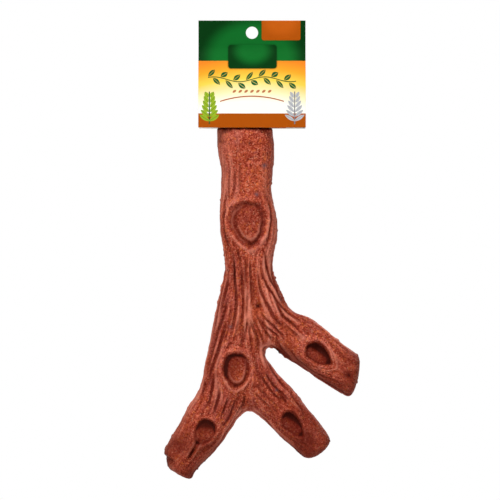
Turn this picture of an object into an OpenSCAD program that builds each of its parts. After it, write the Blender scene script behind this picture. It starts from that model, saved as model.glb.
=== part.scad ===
// Forked bird perch, pressed in one piece round the head of a bolt, with the bolt's
// washers and wing nut and the folded card that it hangs from in the shop.
// The origin is in the branch's flat butt, on the bolt's axis. +Z is up, the branch
// hangs down from the origin, and its front faces -Y.

/* [Branch] */
// Height of the branch from its butt to its lowest corner
branch_h = 228; // [210:1:250]
// Width of the branch over the ends of its limbs
branch_w = 127; // [118:1:140]
// Width of the trunk where it is widest
trunk_w = 35.8; // [33:0.1:39]
// Depth of the trunk from front to back
trunk_t = 30.5; // [27:0.1:34]
// Width of the left leg across its middle
left_w = 29.4; // [26:0.1:33]
// Depth of the left leg
left_t = 28; // [24:0.1:31]
// Width of the right branch across its middle
right_w = 26.4; // [23:0.1:30]
// Depth of the right branch
right_t = 26.5; // [22:0.1:30]
// Width of the lower right leg across its middle
lower_w = 24.4; // [21:0.1:28]
// Depth of the lower right leg
lower_t = 25.5; // [21:0.1:29]
// Rounding round the cut ends of the limbs
end_r = 2.8; // [1:0.1:4]
// Rounding round the edge of the butt
butt_r = 1.3; // [0.5:0.1:3]

/* [Crotches] */
// Radius of the arch between the two legs
arch_r = 7.8; // [5:0.1:10]
// Radius of the crotch under the right branch
notch_r = 3.3; // [2:0.1:5]

/* [Bark] */
// Distance from one groove of the bark to the next
groove_pitch = 6.5; // [6:0.1:9]
// Depth of the bark's grooves where they are deepest
groove_d = 1.5; // [0.4:0.1:2]
// Distance between the rings of points along a limb
ring_step = 8; // [6:0.1:10]

/* [Knots] */
// Width of the knot on the trunk
trunk_knot_w = 24; // [20:0.5:28]
// Length of the knot on the trunk
trunk_knot_l = 30; // [24:0.5:36]
// Width of the knot above the fork of the legs
fork_knot_w = 17; // [14:0.5:22]
// Length of the knot above the fork of the legs
fork_knot_l = 22.5; // [18:0.5:28]
// Width of the knots on the three ends
end_knot_w = 12.5; // [10:0.5:15]
// Length of the knots on the three ends
end_knot_l = 18; // [14:0.5:22]
// Width of the ring that is sunk inside a knot's edge
sunk_w = 2.6; // [1.5:0.1:3.5]
// Depth of the sunk ring
sunk_d = 1.5; // [0.6:0.1:2.4]
// Width of the lip round a knot
lip_w = 2.4; // [1:0.1:3.5]
// Height of the lip over the bark
lip_h = 0.7; // [0.3:0.1:1.2]
// Depth of a hollow knot at its edge, and once more in its middle
hollow_d = 1.4; // [0.6:0.1:2]

/* [Bolt] */
// Diameter of the bolt's shank
bolt_d = 6.35; // [5:0.05:8]
// Length of the shank that stands out of the butt
bolt_out = 28; // [24:0.5:34]
// Length of the shank that is moulded in
bolt_in = 29; // [20:0.5:36]
// Width of the bolt's head across its flats
head_flats = 11.1; // [9:0.1:13]
// Thickness of the bolt's head
head_t = 4.4; // [3:0.1:6]
// Bevel on the free end of the shank
bolt_bevel = 0.8; // [0.3:0.1:1.5]
// Gap between the bolt and the mass moulded round it
mould_gap = 0.05; // [0.02:0.01:0.2]

/* [Washers] */
// Diameter of both washers
washer_d = 25.4; // [20:0.1:30]
// Thickness of each washer
washer_t = 1.3; // [1:0.1:2]
// Gap all round between the shank and the hole in a washer
washer_gap = 0.38; // [0.2:0.01:0.6]

/* [Wing nut] */
// Distance over the tips of the wings
wing_span = 24; // [20:0.5:27]
// Height of the wings above the nut's seat
wing_h = 13; // [11:0.5:15]
// Thickness of a wing at its tip
wing_t = 1.9; // [1.4:0.1:2.4]
// Radius of the rounded tip of a wing
wing_r = 3.3; // [2.5:0.1:4]
// Diameter of the nut's hub at its seat
hub_d = 11.4; // [10:0.1:13]
// Diameter of the nut's hub at its top
hub_top_d = 9.2; // [8.4:0.1:10]
// Height of the nut's hub
hub_h = 6.6; // [5:0.1:8]
// Running gap all round between the nut and the bolt
thread_gap = 0.07; // [0.05:0.01:0.1]

/* [Card] */
// Width of the card
card_w = 69.6; // [60:0.1:76]
// Height of the card's top edge above the butt
card_h = 69.9; // [64:0.1:78]
// Thickness of the board
board_t = 0.45; // [0.3:0.05:0.6]
// Distance between the middles of the two panels where they stand apart
card_deep = 31.4; // [30:0.1:35]
// Height at which the panels start to lean together
lean_z = 25; // [20:0.5:28]
// Height above which the panels are glued together
glue_z = 53; // [50:0.5:55]
// Width of the two bottom flaps
flap_w = 44; // [30:0.5:56]
// Length of a flap past the bolt's axis
flap_past = 10; // [7:0.5:13]
// Gap all round between the bolt and the hole in the flaps
flap_gap = 0.4; // [0.35:0.05:0.8]
// Diameter of the hole that takes the shop's peg
peg_hole_d = 7.94; // [6:0.02:9]
// Distance from the middle of the peg hole to the card's top edge
peg_hole_drop = 8; // [6:0.1:11]

/* [Hidden] */

// How far a cut runs past the face that it opens
cut_over = 1;
// Sides of a turned part, and of a knot's outline
turned = 64;
knot_sides = 24;

// Hold of a value between two limits
function held(value, low, high) = min(max(value, low), high);

// Smooth curve through b and c, with a and d as their neighbours
function through(a, b, c, d, t) =
    0.5 * (2 * b + (c - a) * t + (2 * a - 5 * b + 4 * c - d) * t ^ 2 + (3 * b - a - 3 * c + d) * t ^ 3);

// Row of a limb's table at a place counted in rows
function row_at(limb, place) =
    let (last = len(limb) - 1, i = min(floor(place), last - 1))
    through(limb[max(i - 1, 0)], limb[i], limb[i + 1], limb[min(i + 2, last)], place - i);

// Directions in a limb's section: across it, and along it away from the trunk
function across(tilt) = [cos(tilt), 0, sin(tilt)];
function along(tilt) = [sin(tilt), 0, -cos(tilt)];

// A limb is a table of rows: the middle's x and z, half the width, half the depth,
// the lean of the section and how strong the bark is there
trunk_line = [
    [-0.037 * branch_w, 0, 0.5 * trunk_w, 0.5 * trunk_t, 0, 0.15],
    [-0.032 * branch_w, -0.063 * branch_h, 0.505 * trunk_w, 0.5 * trunk_t, 0, 0.25],
    [-0.027 * branch_w, -0.125 * branch_h, 0.46 * trunk_w, 0.47 * trunk_t, 0, 0.35],
    [-0.03 * branch_w, -0.188 * branch_h, 0.452 * trunk_w, 0.46 * trunk_t, 0, 0.3],
    [-0.021 * branch_w, -0.25 * branch_h, 0.5 * trunk_w, 0.49 * trunk_t, 0, 0.5],
    [-0.015 * branch_w, -0.308 * branch_h, 0.497 * trunk_w, 0.49 * trunk_t, 0, 0.6],
    [-0.017 * branch_w, -0.365 * branch_h, 0.44 * trunk_w, 0.46 * trunk_t, 0, 0.9],
    [-0.023 * branch_w, -0.422 * branch_h, 0.42 * trunk_w, 0.46 * trunk_t, -4, 1],
    [-0.039 * branch_w, -0.485 * branch_h, 0.445 * trunk_w, 0.47 * trunk_t, -8, 1],
    [-0.06 * branch_w, -0.547 * branch_h, 0.45 * trunk_w, 0.48 * trunk_t, -10, 1],
    [-0.079 * branch_w, -0.61 * branch_h, 0.465 * trunk_w, 0.48 * trunk_t, -10, 0.9],
    [-0.097 * branch_w, -0.673 * branch_h, 0.48 * trunk_w, 0.48 * trunk_t, -12, 0.9],
    [-0.124 * branch_w, -0.73 * branch_h, 0.555 * left_w, 0.52 * left_t, -17, 1],
    [-0.167 * branch_w, -0.784 * branch_h, 0.525 * left_w, 0.51 * left_t, -25, 1],
    [-0.223 * branch_w, -0.832 * branch_h, 0.517 * left_w, 0.5 * left_t, -31, 0.7],
    [-0.264 * branch_w, -0.872 * branch_h, 0.5 * left_w, 0.5 * left_t, -32, 0.6],
    [-0.317 * branch_w, -0.911 * branch_h, 0.46 * left_w, 0.49 * left_t, -32, 0.6],
    [-0.362 * branch_w, -0.949 * branch_h, 0.4 * left_w, 0.47 * left_t, -32, 0.5],
    [-0.376 * branch_w, -0.983 * branch_h, 0.34 * left_w, 0.44 * left_t, -32, 0.4],
];
right_line = [
    [0, -0.37 * branch_h, 0.4 * right_w, 0.36 * right_t, 2, 0.6],
    [0.033 * branch_w, -0.433 * branch_h, 0.4 * right_w, 0.46 * right_t, 14, 1],
    [0.061 * branch_w, -0.496 * branch_h, 0.48 * right_w, 0.53 * right_t, 30, 1],
    [0.13 * branch_w, -0.557 * branch_h, 0.48 * right_w, 0.53 * right_t, 46, 1],
    [0.229 * branch_w, -0.597 * branch_h, 0.57 * right_w, 0.52 * right_t, 54, 0.9],
    [0.322 * branch_w, -0.634 * branch_h, 0.54 * right_w, 0.5 * right_t, 54, 0.6],
    [0.425 * branch_w, -0.677 * branch_h, 0.515 * right_w, 0.49 * right_t, 57, 0.6],
    [0.528 * branch_w, -0.714 * branch_h, 0.495 * right_w, 0.47 * right_t, 70, 0.4],
];
lower_line = [
    [-0.061 * branch_w, -0.62 * branch_h, 0.42 * lower_w, 0.44 * lower_t, 4, 0.8],
    [-0.026 * branch_w, -0.678 * branch_h, 0.57 * lower_w, 0.53 * lower_t, 14, 1],
    [0.031 * branch_w, -0.735 * branch_h, 0.6 * lower_w, 0.54 * lower_t, 32, 1],
    [0.115 * branch_w, -0.782 * branch_h, 0.57 * lower_w, 0.53 * lower_t, 42, 0.9],
    [0.196 * branch_w, -0.83 * branch_h, 0.53 * lower_w, 0.51 * lower_t, 42, 0.6],
    [0.263 * branch_w, -0.873 * branch_h, 0.5 * lower_w, 0.49 * lower_t, 41, 0.5],
    [0.342 * branch_w, -0.924 * branch_h, 0.455 * lower_w, 0.47 * lower_t, 36, 0.4],
];
// Two short limbs fill the forks, so that the bark fans out over them without a crease
fork_line = [
    [-0.01 * branch_w, -0.4 * branch_h, 0.25 * right_w, 0.42 * right_t, 2, 0.8],
    [0.012 * branch_w, -0.46 * branch_h, 0.36 * right_w, 0.52 * right_t, 6, 1],
    [0.035 * branch_w, -0.53 * branch_h, 0.46 * right_w, 0.54 * right_t, 16, 1],
    [0.06 * branch_w, -0.585 * branch_h, 0.4 * right_w, 0.49 * right_t, 22, 1],
    [0.075 * branch_w, -0.618 * branch_h, 0.28 * right_w, 0.36 * right_t, 26, 0.8],
];
leg_fork_line = [
    [-0.07 * branch_w, -0.66 * branch_h, 0.3 * lower_w, 0.44 * lower_t, -4, 0.8],
    [-0.05 * branch_w, -0.715 * branch_h, 0.42 * lower_w, 0.54 * lower_t, 0, 1],
    [-0.028 * branch_w, -0.76 * branch_h, 0.46 * lower_w, 0.52 * lower_t, 5, 1],
    [-0.013 * branch_w, -0.798 * branch_h, 0.36 * lower_w, 0.4 * lower_t, 6, 0.8],
];

// A knot is its middle's x and z, half its width and length and the lean of its pointed
// end. The first ones have a swelling inside a sunk ring, and the last ones are hollows
ringed_knots = [
    [-0.02 * branch_w, -0.277 * branch_h, trunk_knot_w / 2, trunk_knot_l / 2, 2],
    [-0.079 * branch_w, -0.69 * branch_h, fork_knot_w / 2, fork_knot_l / 2, -8],
];
hollow_knots = [
    [0.327 * branch_w, -0.638 * branch_h, end_knot_w / 2, end_knot_l / 2, 51],
    [-0.245 * branch_w, -0.866 * branch_h, end_knot_w / 2, end_knot_l / 2, -32],
    [0.2 * branch_w, -0.84 * branch_h, end_knot_w / 2, end_knot_l / 2, 39],
];
knots = concat(ringed_knots, hollow_knots);

// How much a knot's outline narrows towards its pointed end
tip_share = 0.35;
// Reach of a knot, in shares of its half width and length, over which the bark stays bare
bare_share = 1.3;

// How far a point of the front is from a knot's middle, where 1 is on its outline
function knot_range(knot, x, z) =
    let (
        d = [x - knot[0], 0, z - knot[1]],
        down = held(d * along(knot[4]) / knot[3], -2, 2)
    )
    norm([d * across(knot[4]) / (knot[2] * (1 - tip_share * down)), down]);

// Bark grooves wander sideways and change in depth along a limb: shares of the pitch and depth
function wander_share(g, place, seed) = 0.27 * sin(97 * g + 41 * place + seed);
function cut_share(g, place, seed) = 0.68 + 0.32 * sin(151 * g + 63 * place + 2 * seed);

// Columns of points between two grooves: one in the groove and two on the ridge
column_shares = [0, 0.36, 0.64];

// Distance from a limb's middle to its moulded outline in one direction
outline_power = 2.3;
function outline_r(a, half_w, half_t) =
    ((abs(sin(a)) / half_w) ^ outline_power + (abs(cos(a)) / half_t) ^ outline_power) ^ (-1 / outline_power);

// One ring of points round a limb: shift moves it along the limb, inset draws it in, and
// the bark's grooves are cut where barked is 1
function ring(limb, place, shift, inset, grooves, seed, barked) =
    let (
        row = row_at(limb, place),
        middle = [row[0], 0, row[1]] + shift * along(row[4])
    )
    [
        for (k = [0 : 3 * grooves - 1])
            let (
                g = floor(k / 3),
                t = column_shares[k % 3],
                here = g + wander_share(g, place, seed),
                next = g + 1 + wander_share((g + 1) % grooves, place, seed),
                a = 360 * (here * (1 - t) + next * t) / grooves,
                r = outline_r(a, row[2], row[3]),
                spot = middle + r * sin(a) * across(row[4]),
                near = min([for (knot = knots) knot_range(knot, spot[0], spot[2])]),
                bare = 1 - held(2 * cos(a), 0, 1) * exp(-(near / bare_share) ^ 6),
                bark = k % 3 == 0 ? barked * groove_d * row[5] * bare * cut_share(g, place, seed) : 0
            )
            middle + (r - bark - inset) * (sin(a) * across(row[4]) + [0, -cos(a), 0])
    ];

// How far a rounded edge draws in at a distance from its end face
function edge_inset(d, radius) = radius - sqrt(max(0, radius ^ 2 - (radius - d) ^ 2));

// All rings of a limb, with rounded edges at its two end faces
function limb_rings(limb, inset, start_r, stop_r, grooves, seed, barked) =
    let (
        last = len(limb) - 1,
        steps = [
            for (i = [1 : last])
                max(1, round(norm([limb[i][0] - limb[i - 1][0], limb[i][1] - limb[i - 1][1]]) / ring_step))
        ]
    )
    [
        for (share = [0, 0.3])
            let (d = share * start_r)
            ring(limb, 0, d, inset + edge_inset(d, start_r), grooves, seed, barked),
        ring(limb, 0, start_r, inset, grooves, seed, barked),
        for (i = [0 : last - 1])
            for (j = [1 : steps[i] - (i == last - 1 ? 1 : 0)])
                ring(limb, i + j / steps[i], 0, inset, grooves, seed, barked),
        ring(limb, last, -stop_r, inset, grooves, seed, barked),
        for (share = [0.3, 0])
            let (d = share * stop_r)
            ring(limb, last, -d, inset + edge_inset(d, stop_r), grooves, seed, barked),
    ];

// Closed skin over rings that have the same number of points
module skin(rings) {
    n = len(rings[0]);
    m = len(rings);
    polyhedron(
        points = [for (r = rings) each r],
        faces = [
            [for (k = [n - 1 : -1 : 0]) k],
            [for (k = [0 : n - 1]) (m - 1) * n + k],
            for (i = [0 : m - 2])
                for (k = [0 : n - 1])
                    each [
                        [i * n + k, i * n + (k + 1) % n, (i + 1) * n + k],
                        [i * n + (k + 1) % n, (i + 1) * n + (k + 1) % n, (i + 1) * n + k],
                    ],
        ]
    );
}

// One limb, with as many bark grooves as its girth takes
module limb(rows, width, depth, start_r, seed, inset, barked) {
    grooves = round(PI * (width + depth) / 2 / groove_pitch);
    skin(limb_rings(rows, inset, start_r, end_r, grooves, seed, barked));
}

// All limbs, drawn in by inset or, below zero, grown
module limbs(inset, barked) {
    limb(trunk_line, trunk_w, trunk_t, butt_r, 20, inset, barked);
    limb(right_line, right_w, right_t, end_r, 130, inset, barked);
    limb(lower_line, lower_w, lower_t, end_r, 250, inset, barked);
    limb(fork_line, right_w, right_t, end_r, 60, inset, barked);
    limb(leg_fork_line, lower_w, lower_t, end_r, 310, inset, barked);
}

// Rounded web in a crotch: a bent bar whose inner side is the crotch's radius
module web(x, z, inner_r, half_w, half_t, from, to) {
    translate([x, 0, z])
        rotate([90, 0, 0])
            rotate([0, 0, from])
                rotate_extrude(angle = to - from, $fn = 48)
                    translate([inner_r + half_w, 0])
                        scale([1, half_t / half_w])
                            circle(half_w, $fn = 20);
}

// Bar from the middle of the limb out through its front, with a knot's outline grown or
// drawn in by a margin
module knot_bar(knot, margin) {
    points = [
        for (a = [0 : 360 / knot_sides : 359])
            let (down = cos(a) * (knot[3] + margin), narrow = 1 - tip_share * cos(a))
            [sin(a) * (knot[2] + margin) * narrow, -down]
    ];
    translate([knot[0], 0, knot[1]])
        rotate([0, -knot[4], 0])
            rotate([90, 0, 0])
                linear_extrude(trunk_t)
                    polygon(points);
}

// Lips round the knots: what stands over the bark within the lip's width
module knot_lips() {
    intersection() {
        limbs(-lip_h, 0);
        for (knot = knots)
            difference() {
                knot_bar(knot, lip_w);
                knot_bar(knot, 0);
            }
    }
}

// What is cut out of the knots: a sunk ring in the ringed ones and two steps in the hollows
module knot_cuts() {
    difference() {
        for (knot = ringed_knots)
            difference() {
                knot_bar(knot, 0);
                knot_bar(knot, -sunk_w);
            }
        limbs(sunk_d, 0);
    }
    for (step = [1, 2])
        difference() {
            for (knot = hollow_knots)
                knot_bar(knot, (1 - step) * sunk_w / 2);
            limbs(step * hollow_d, 0);
        }
}

// The limbs and webs as one form with its knots, at its full width and height
module branch_form() {
    resize([branch_w, 0, branch_h])
        difference() {
            union() {
                limbs(0, 1);
                knot_lips();
                web(-0.01 * branch_w, -0.84 * branch_h, arch_r, 0.32 * lower_w, 0.4 * lower_t, 25, 150);
                web(0.105 * branch_w, -0.639 * branch_h, notch_r, 0.25 * right_w, 0.3 * right_t, 70, 200);
            }
            knot_cuts();
        }
}

// The branch, with the pocket of the moulded-in bolt
module perch_body() {
    color([0.62, 0.28, 0.2])
        difference() {
            branch_form();
            translate([0, 0, -bolt_in])
                cylinder(r = bolt_d / 2 + mould_gap, h = bolt_in + cut_over, $fn = turned);
            translate([0, 0, -bolt_in - head_t - mould_gap])
                cylinder(r = (head_flats / 2 + mould_gap) / cos(30), h = head_t + 2 * mould_gap, $fn = 6);
        }
}

// The bolt: a hexagon head in the branch and a shank that stands out of the butt
module hanger_bolt() {
    color([0.72, 0.73, 0.75]) {
        translate([0, 0, -bolt_in - head_t])
            cylinder(r = head_flats / 2 / cos(30), h = head_t, $fn = 6);
        translate([0, 0, -bolt_in])
            cylinder(d = bolt_d, h = bolt_in + bolt_out - bolt_bevel, $fn = turned);
        translate([0, 0, bolt_out - bolt_bevel])
            cylinder(d1 = bolt_d, d2 = bolt_d - 2 * bolt_bevel, h = bolt_bevel, $fn = turned);
    }
}

// Flat washer whose lower face is at z
module washer(z) {
    color([0.78, 0.79, 0.8])
        translate([0, 0, z])
            difference() {
                cylinder(d = washer_d, h = washer_t, $fn = turned);
                translate([0, 0, -cut_over])
                    cylinder(r = bolt_d / 2 + washer_gap, h = washer_t + 2 * cut_over, $fn = turned);
            }
}

// Seats of the stack on the butt: two flaps of the card, two washers and the nut
inner_washer_z = 2 * board_t;
outer_washer_z = inner_washer_z + washer_t;
nut_z = outer_washer_z + washer_t;

module inner_washer() {
    washer(inner_washer_z);
}

module outer_washer() {
    washer(outer_washer_z);
}

// Wing that rises from the hub and ends in a rounded tip
module wing() {
    hull() {
        translate([wing_span / 2 - wing_r, wing_t / 2, wing_h - wing_r])
            rotate([90, 0, 0])
                cylinder(r = wing_r, h = wing_t, $fn = 32);
        translate([bolt_d / 2 + 2 * thread_gap + wing_t / 2, 0, 0.2 * hub_h])
            cylinder(r = wing_t / 2, h = 0.75 * hub_h, $fn = 24);
        translate([hub_d / 2, -0.9 * wing_t, 0.2 * hub_h])
            cube([0.2 * wing_t, 1.8 * wing_t, 0.3 * hub_h]);
    }
}

// The wing nut: a tapered hub with a bore and two wings
module wing_nut() {
    color([0.8, 0.81, 0.82])
        translate([0, 0, nut_z])
            difference() {
                union() {
                    cylinder(d1 = hub_d, d2 = hub_top_d, h = hub_h, $fn = turned);
                    for (turn = [0, 180])
                        rotate([0, 0, turn])
                            wing();
                }
                translate([0, 0, -cut_over])
                    cylinder(r = bolt_d / 2 + thread_gap, h = hub_h + 2 * cut_over, $fn = turned);
            }
}

// Middle of a panel as [y, z], at a share of the way up its lean
function panel_y(share) = card_deep / 4 * (1 + cos(180 * share)) + board_t / 4 * (1 - cos(180 * share));
function panel_slope(share) = atan(PI * (card_deep - board_t) / 4 * sin(180 * share) / (glue_z - lean_z));
function panel_point(share, side) =
    [
        panel_y(share) + side * board_t / 2 * cos(panel_slope(share)),
        lean_z + share * (glue_z - lean_z) + side * board_t / 2 * sin(panel_slope(share)),
    ];

// Half of the folded board's outline, from the top fold down the outside and up the inside
lean_steps = 12;
panel_half = [
    [board_t, card_h],
    for (i = [lean_steps : -1 : 0]) panel_point(i / lean_steps, 1),
    [card_deep / 2 + board_t / 2, 0],
    [card_deep / 2 - board_t / 2, 0],
    for (i = [0 : lean_steps - 1]) panel_point(i / lean_steps, -1),
    [0, glue_z],
];

// The card: one folded board with a front and a back panel, which lean together and are
// glued round the peg hole, and two bottom flaps that the bolt passes through
module header_card() {
    hole_r = bolt_d / 2 + flap_gap;
    color([0.2, 0.42, 0.16])
        difference() {
            union() {
                for (side = [0, 1])
                    mirror([0, side, 0])
                        translate([-card_w / 2, 0, 0])
                            rotate([90, 0, 90])
                                linear_extrude(card_w)
                                    polygon(concat(panel_half, [[0, card_h]]));
                translate([-flap_w / 2, -card_deep / 2 - board_t / 2, 0])
                    cube([flap_w, card_deep / 2 + board_t / 2 + flap_past, board_t]);
                translate([-flap_w / 2, -flap_past, board_t])
                    cube([flap_w, card_deep / 2 + board_t / 2 + flap_past, board_t]);
            }
            translate([0, 0, -cut_over])
                cylinder(r = hole_r, h = 2 * board_t + 2 * cut_over, $fn = turned);
            translate([0, board_t + cut_over, card_h - peg_hole_drop])
                rotate([90, 0, 0])
                    cylinder(d = peg_hole_d, h = 2 * board_t + 2 * cut_over, $fn = turned);
        }
}

perch_body();
hanger_bolt();
inner_washer();
outer_washer();
wing_nut();
header_card();
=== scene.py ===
"""Forked bird perch: a bark-covered branch pressed round a bolt, its washers and wing nut, and the card it hangs from.

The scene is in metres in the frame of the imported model: +Z is up, the branch hangs down from the origin and its front
faces -Y. Sizes in the classes are in millimetres, as a maker would note them, and only the studio's are in metres.
Points are in millimetres too while they are worked on.
"""
import logging
import math
from dataclasses import dataclass, field
from enum import Enum
from itertools import product
from typing import NamedTuple, Sequence

import bpy
import numpy as np
from mathutils import Matrix, Vector


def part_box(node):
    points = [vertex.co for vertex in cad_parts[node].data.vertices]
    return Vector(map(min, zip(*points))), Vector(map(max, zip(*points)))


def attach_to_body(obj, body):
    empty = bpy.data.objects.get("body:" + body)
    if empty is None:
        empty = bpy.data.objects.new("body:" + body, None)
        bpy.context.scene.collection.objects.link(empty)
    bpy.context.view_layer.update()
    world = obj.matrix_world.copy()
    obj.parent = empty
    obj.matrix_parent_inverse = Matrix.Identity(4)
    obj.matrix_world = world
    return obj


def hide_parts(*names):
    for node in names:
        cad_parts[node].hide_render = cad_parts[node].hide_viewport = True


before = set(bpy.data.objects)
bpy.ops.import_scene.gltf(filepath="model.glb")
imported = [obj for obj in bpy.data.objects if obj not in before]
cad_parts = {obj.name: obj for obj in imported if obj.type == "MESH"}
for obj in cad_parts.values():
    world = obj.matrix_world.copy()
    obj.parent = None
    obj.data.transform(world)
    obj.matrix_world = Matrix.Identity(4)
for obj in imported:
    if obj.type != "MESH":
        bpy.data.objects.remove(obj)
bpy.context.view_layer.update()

LOG = logging.getLogger("perch")
MM = 0.001
TURN = 2 * math.pi
ROUND = 96  # sides of a piece that has to look round

Array = np.ndarray
Colour = tuple[float, float, float]
Object = bpy.types.Object
Socket = bpy.types.NodeSocket
Input = "float | tuple | Wire"


class Slot(Enum):
    """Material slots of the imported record."""

    MASS = "chew_mass"
    ZINC = "zinc_plate"
    BOARD = "printed_board"


# ---------------------------------------------------------------- numbers


def smoothstep(x: Array, low: float, high: float) -> Array:
    """Smooth ramp from 0 at low to 1 at high."""
    t = np.clip((x - low) / (high - low), 0.0, 1.0)
    return t * t * (3.0 - 2.0 * t)


def bell(off: Array, width: float = 1.0) -> Array:
    """Bump that is 1 where off is 0 and falls to 0.37 at the width."""
    return np.exp(-((off / width) ** 2))


def _lattice(ix: Array, iy: Array, iz: Array, seed: int) -> Array:
    """Repeatable random value in -1..1 for each lattice point."""
    h = (ix * 374761393 + iy * 668265263 + iz * 1440662683 + seed * 1274126177) & 0xFFFFFFFF
    h = ((h ^ (h >> 13)) * 1103515245 + 12345) & 0xFFFFFFFF
    h = ((h ^ (h >> 16)) * 69069 + 1) & 0xFFFFFFFF
    return ((h >> 7) & 0xFFFF) / 32767.5 - 1.0


def noise(points: Array, seed: int) -> Array:
    """Smooth value noise.

    Args:
        points: an (n, 3) array, where 1 is the size of a lattice cell.
        seed: picks the pattern.

    Returns:
        n values between -1 and 1.
    """
    base = np.floor(points).astype(np.int64)
    f = points - base
    f = f * f * (3.0 - 2.0 * f)
    out = np.zeros(len(points))
    for corner in product((0, 1), repeat=3):
        out += np.where(corner, f, 1 - f).prod(axis=1) * _lattice(*(base + corner).T, seed)
    return out


def layered(points: Array, seed: int) -> Array:
    """Noise of two sizes, the second half as large and half as strong as the first."""
    return noise(points, seed) + 0.5 * noise(points * 2.0, seed + 17)


def through(rows: Array, place: Array) -> Array:
    """Smooth curve through the rows of a table, read at places counted in rows."""
    last = len(rows) - 1
    i = np.clip(np.floor(place).astype(int), 0, last - 1)
    t = (place - i)[:, None]
    a, b = rows[np.maximum(i - 1, 0)], rows[i]
    c, d = rows[i + 1], rows[np.minimum(i + 2, last)]
    return 0.5 * (2 * b + (c - a) * t + (2 * a - 5 * b + 4 * c - d) * t**2 + (3 * b - a - 3 * c + d) * t**3)


# ---------------------------------------------------------------- meshes


def make_mesh(name: str, verts: Sequence, faces: Sequence) -> Object:
    """New smooth object in the scene.

    Args:
        name: name of the piece.
        verts: corners in metres.
        faces: rows of corner numbers.

    Returns:
        The new object.
    """
    mesh = bpy.data.meshes.new(name)
    mesh.from_pydata([tuple(v) for v in verts], [], [tuple(f) for f in faces])
    mesh.validate()
    mesh.update()
    mesh.shade_smooth()
    return in_scene(bpy.data.objects.new(name, mesh))


def in_scene(obj: Object) -> Object:
    """Put an object in the scene."""
    bpy.context.scene.collection.objects.link(obj)
    return obj


def bake_modifiers(obj: Object) -> None:
    """Turn an object's modifiers into its mesh."""
    graph = bpy.context.evaluated_depsgraph_get()
    mesh = bpy.data.meshes.new_from_object(obj.evaluated_get(graph))
    obj.modifiers.clear()
    old, obj.data = obj.data, mesh
    bpy.data.meshes.remove(old)
    mesh.name = obj.name


def voxel_remesh(obj: Object, size: float) -> None:
    """Remesh an object into even quads of a size in millimetres, which joins its overlapping shells."""
    m = obj.modifiers.new("voxels", "REMESH")
    m.mode, m.voxel_size, m.use_smooth_shade = "VOXEL", size * MM, True
    bake_modifiers(obj)


def coords(obj: Object) -> Array:
    """Vertex places of an object as an (n, 3) array, in millimetres."""
    co = np.empty(len(obj.data.vertices) * 3)
    obj.data.vertices.foreach_get("co", co)
    return co.reshape(-1, 3) / MM


def set_coords(obj: Object, co: Array) -> None:
    """Write vertex places in millimetres back."""
    obj.data.vertices.foreach_set("co", np.ascontiguousarray(co * MM, dtype=np.float32).ravel())
    obj.data.update()


def set_values(obj: Object, name: str, values: Array) -> None:
    """Store one value per vertex, which a material reads by name."""
    layer = obj.data.attributes.new(name, "FLOAT", "POINT")
    layer.data.foreach_set("value", np.ascontiguousarray(values, dtype=np.float32))


def set_mask(obj: Object, name: str, values: Array) -> None:
    """Store one share from 0 to 1 per vertex."""
    set_values(obj, name, np.clip(values, 0, 1))


def neighbours_mean(obj: Object, values: Array) -> Array:
    """Mean of each vertex's neighbours, for values of any width."""
    edges = np.empty(len(obj.data.edges) * 2, dtype=np.int64)
    obj.data.edges.foreach_get("vertices", edges)
    a, b = edges[0::2], edges[1::2]
    n = len(obj.data.vertices)
    count = np.bincount(a, minlength=n) + np.bincount(b, minlength=n)
    sums = [np.bincount(a, column[b], n) + np.bincount(b, column[a], n) for column in values.T]
    return np.transpose(sums) / np.maximum(count, 1)[:, None]


def circle(radius: float | Array, z: float, sides: int) -> Array:
    """Points of a level ring about the Z axis."""
    a = TURN * np.arange(sides) / sides
    return np.c_[radius * np.cos(a), radius * np.sin(a), np.full(sides, z)]


def loft(name: str, tubes: Sequence[Sequence[Array]]) -> Object:
    """One mesh of closed tubes.

    Args:
        name: name of the piece.
        tubes: the rings of points of each tube, in millimetres.

    Returns:
        The new object.
    """
    verts, faces = [], []
    for rings in tubes:
        n, start = len(rings[0]), len(verts)
        verts.extend(np.concatenate(rings) * MM)
        for first in range(start, len(verts) - n, n):
            pairs = [(first + k, first + (k + 1) % n) for k in range(n)]
            faces.extend((a, b, b + n, a + n) for a, b in pairs)
        faces.append(range(start + n - 1, start - 1, -1))
        faces.append(range(len(verts) - n, len(verts)))
    return make_mesh(name, verts, faces)


def revolve(name: str, profile: Sequence[tuple[float, float]]) -> Object:
    """Turned ring about the Z axis.

    Args:
        name: name of the piece.
        profile: (radius, height) points round its section, in millimetres.

    Returns:
        The new object.
    """
    n = len(profile)
    rings = np.array([circle(r, z, ROUND) for r, z in profile]) * MM
    pairs = [(k * n, (k + 1) % ROUND * n, i, (i + 1) % n) for k in range(ROUND) for i in range(n)]
    return make_mesh(name, rings.swapaxes(0, 1).reshape(-1, 3), [(a + i, b + i, b + j, a + j) for a, b, i, j in pairs])


def sharpen(obj: Object, degrees: float) -> None:
    """Mark the edges sharper than an angle, so that flat faces stay crisp under smooth shading."""
    obj.data.set_sharp_from_angle(angle=math.radians(degrees))


# ---------------------------------------------------------------- shader tools


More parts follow.
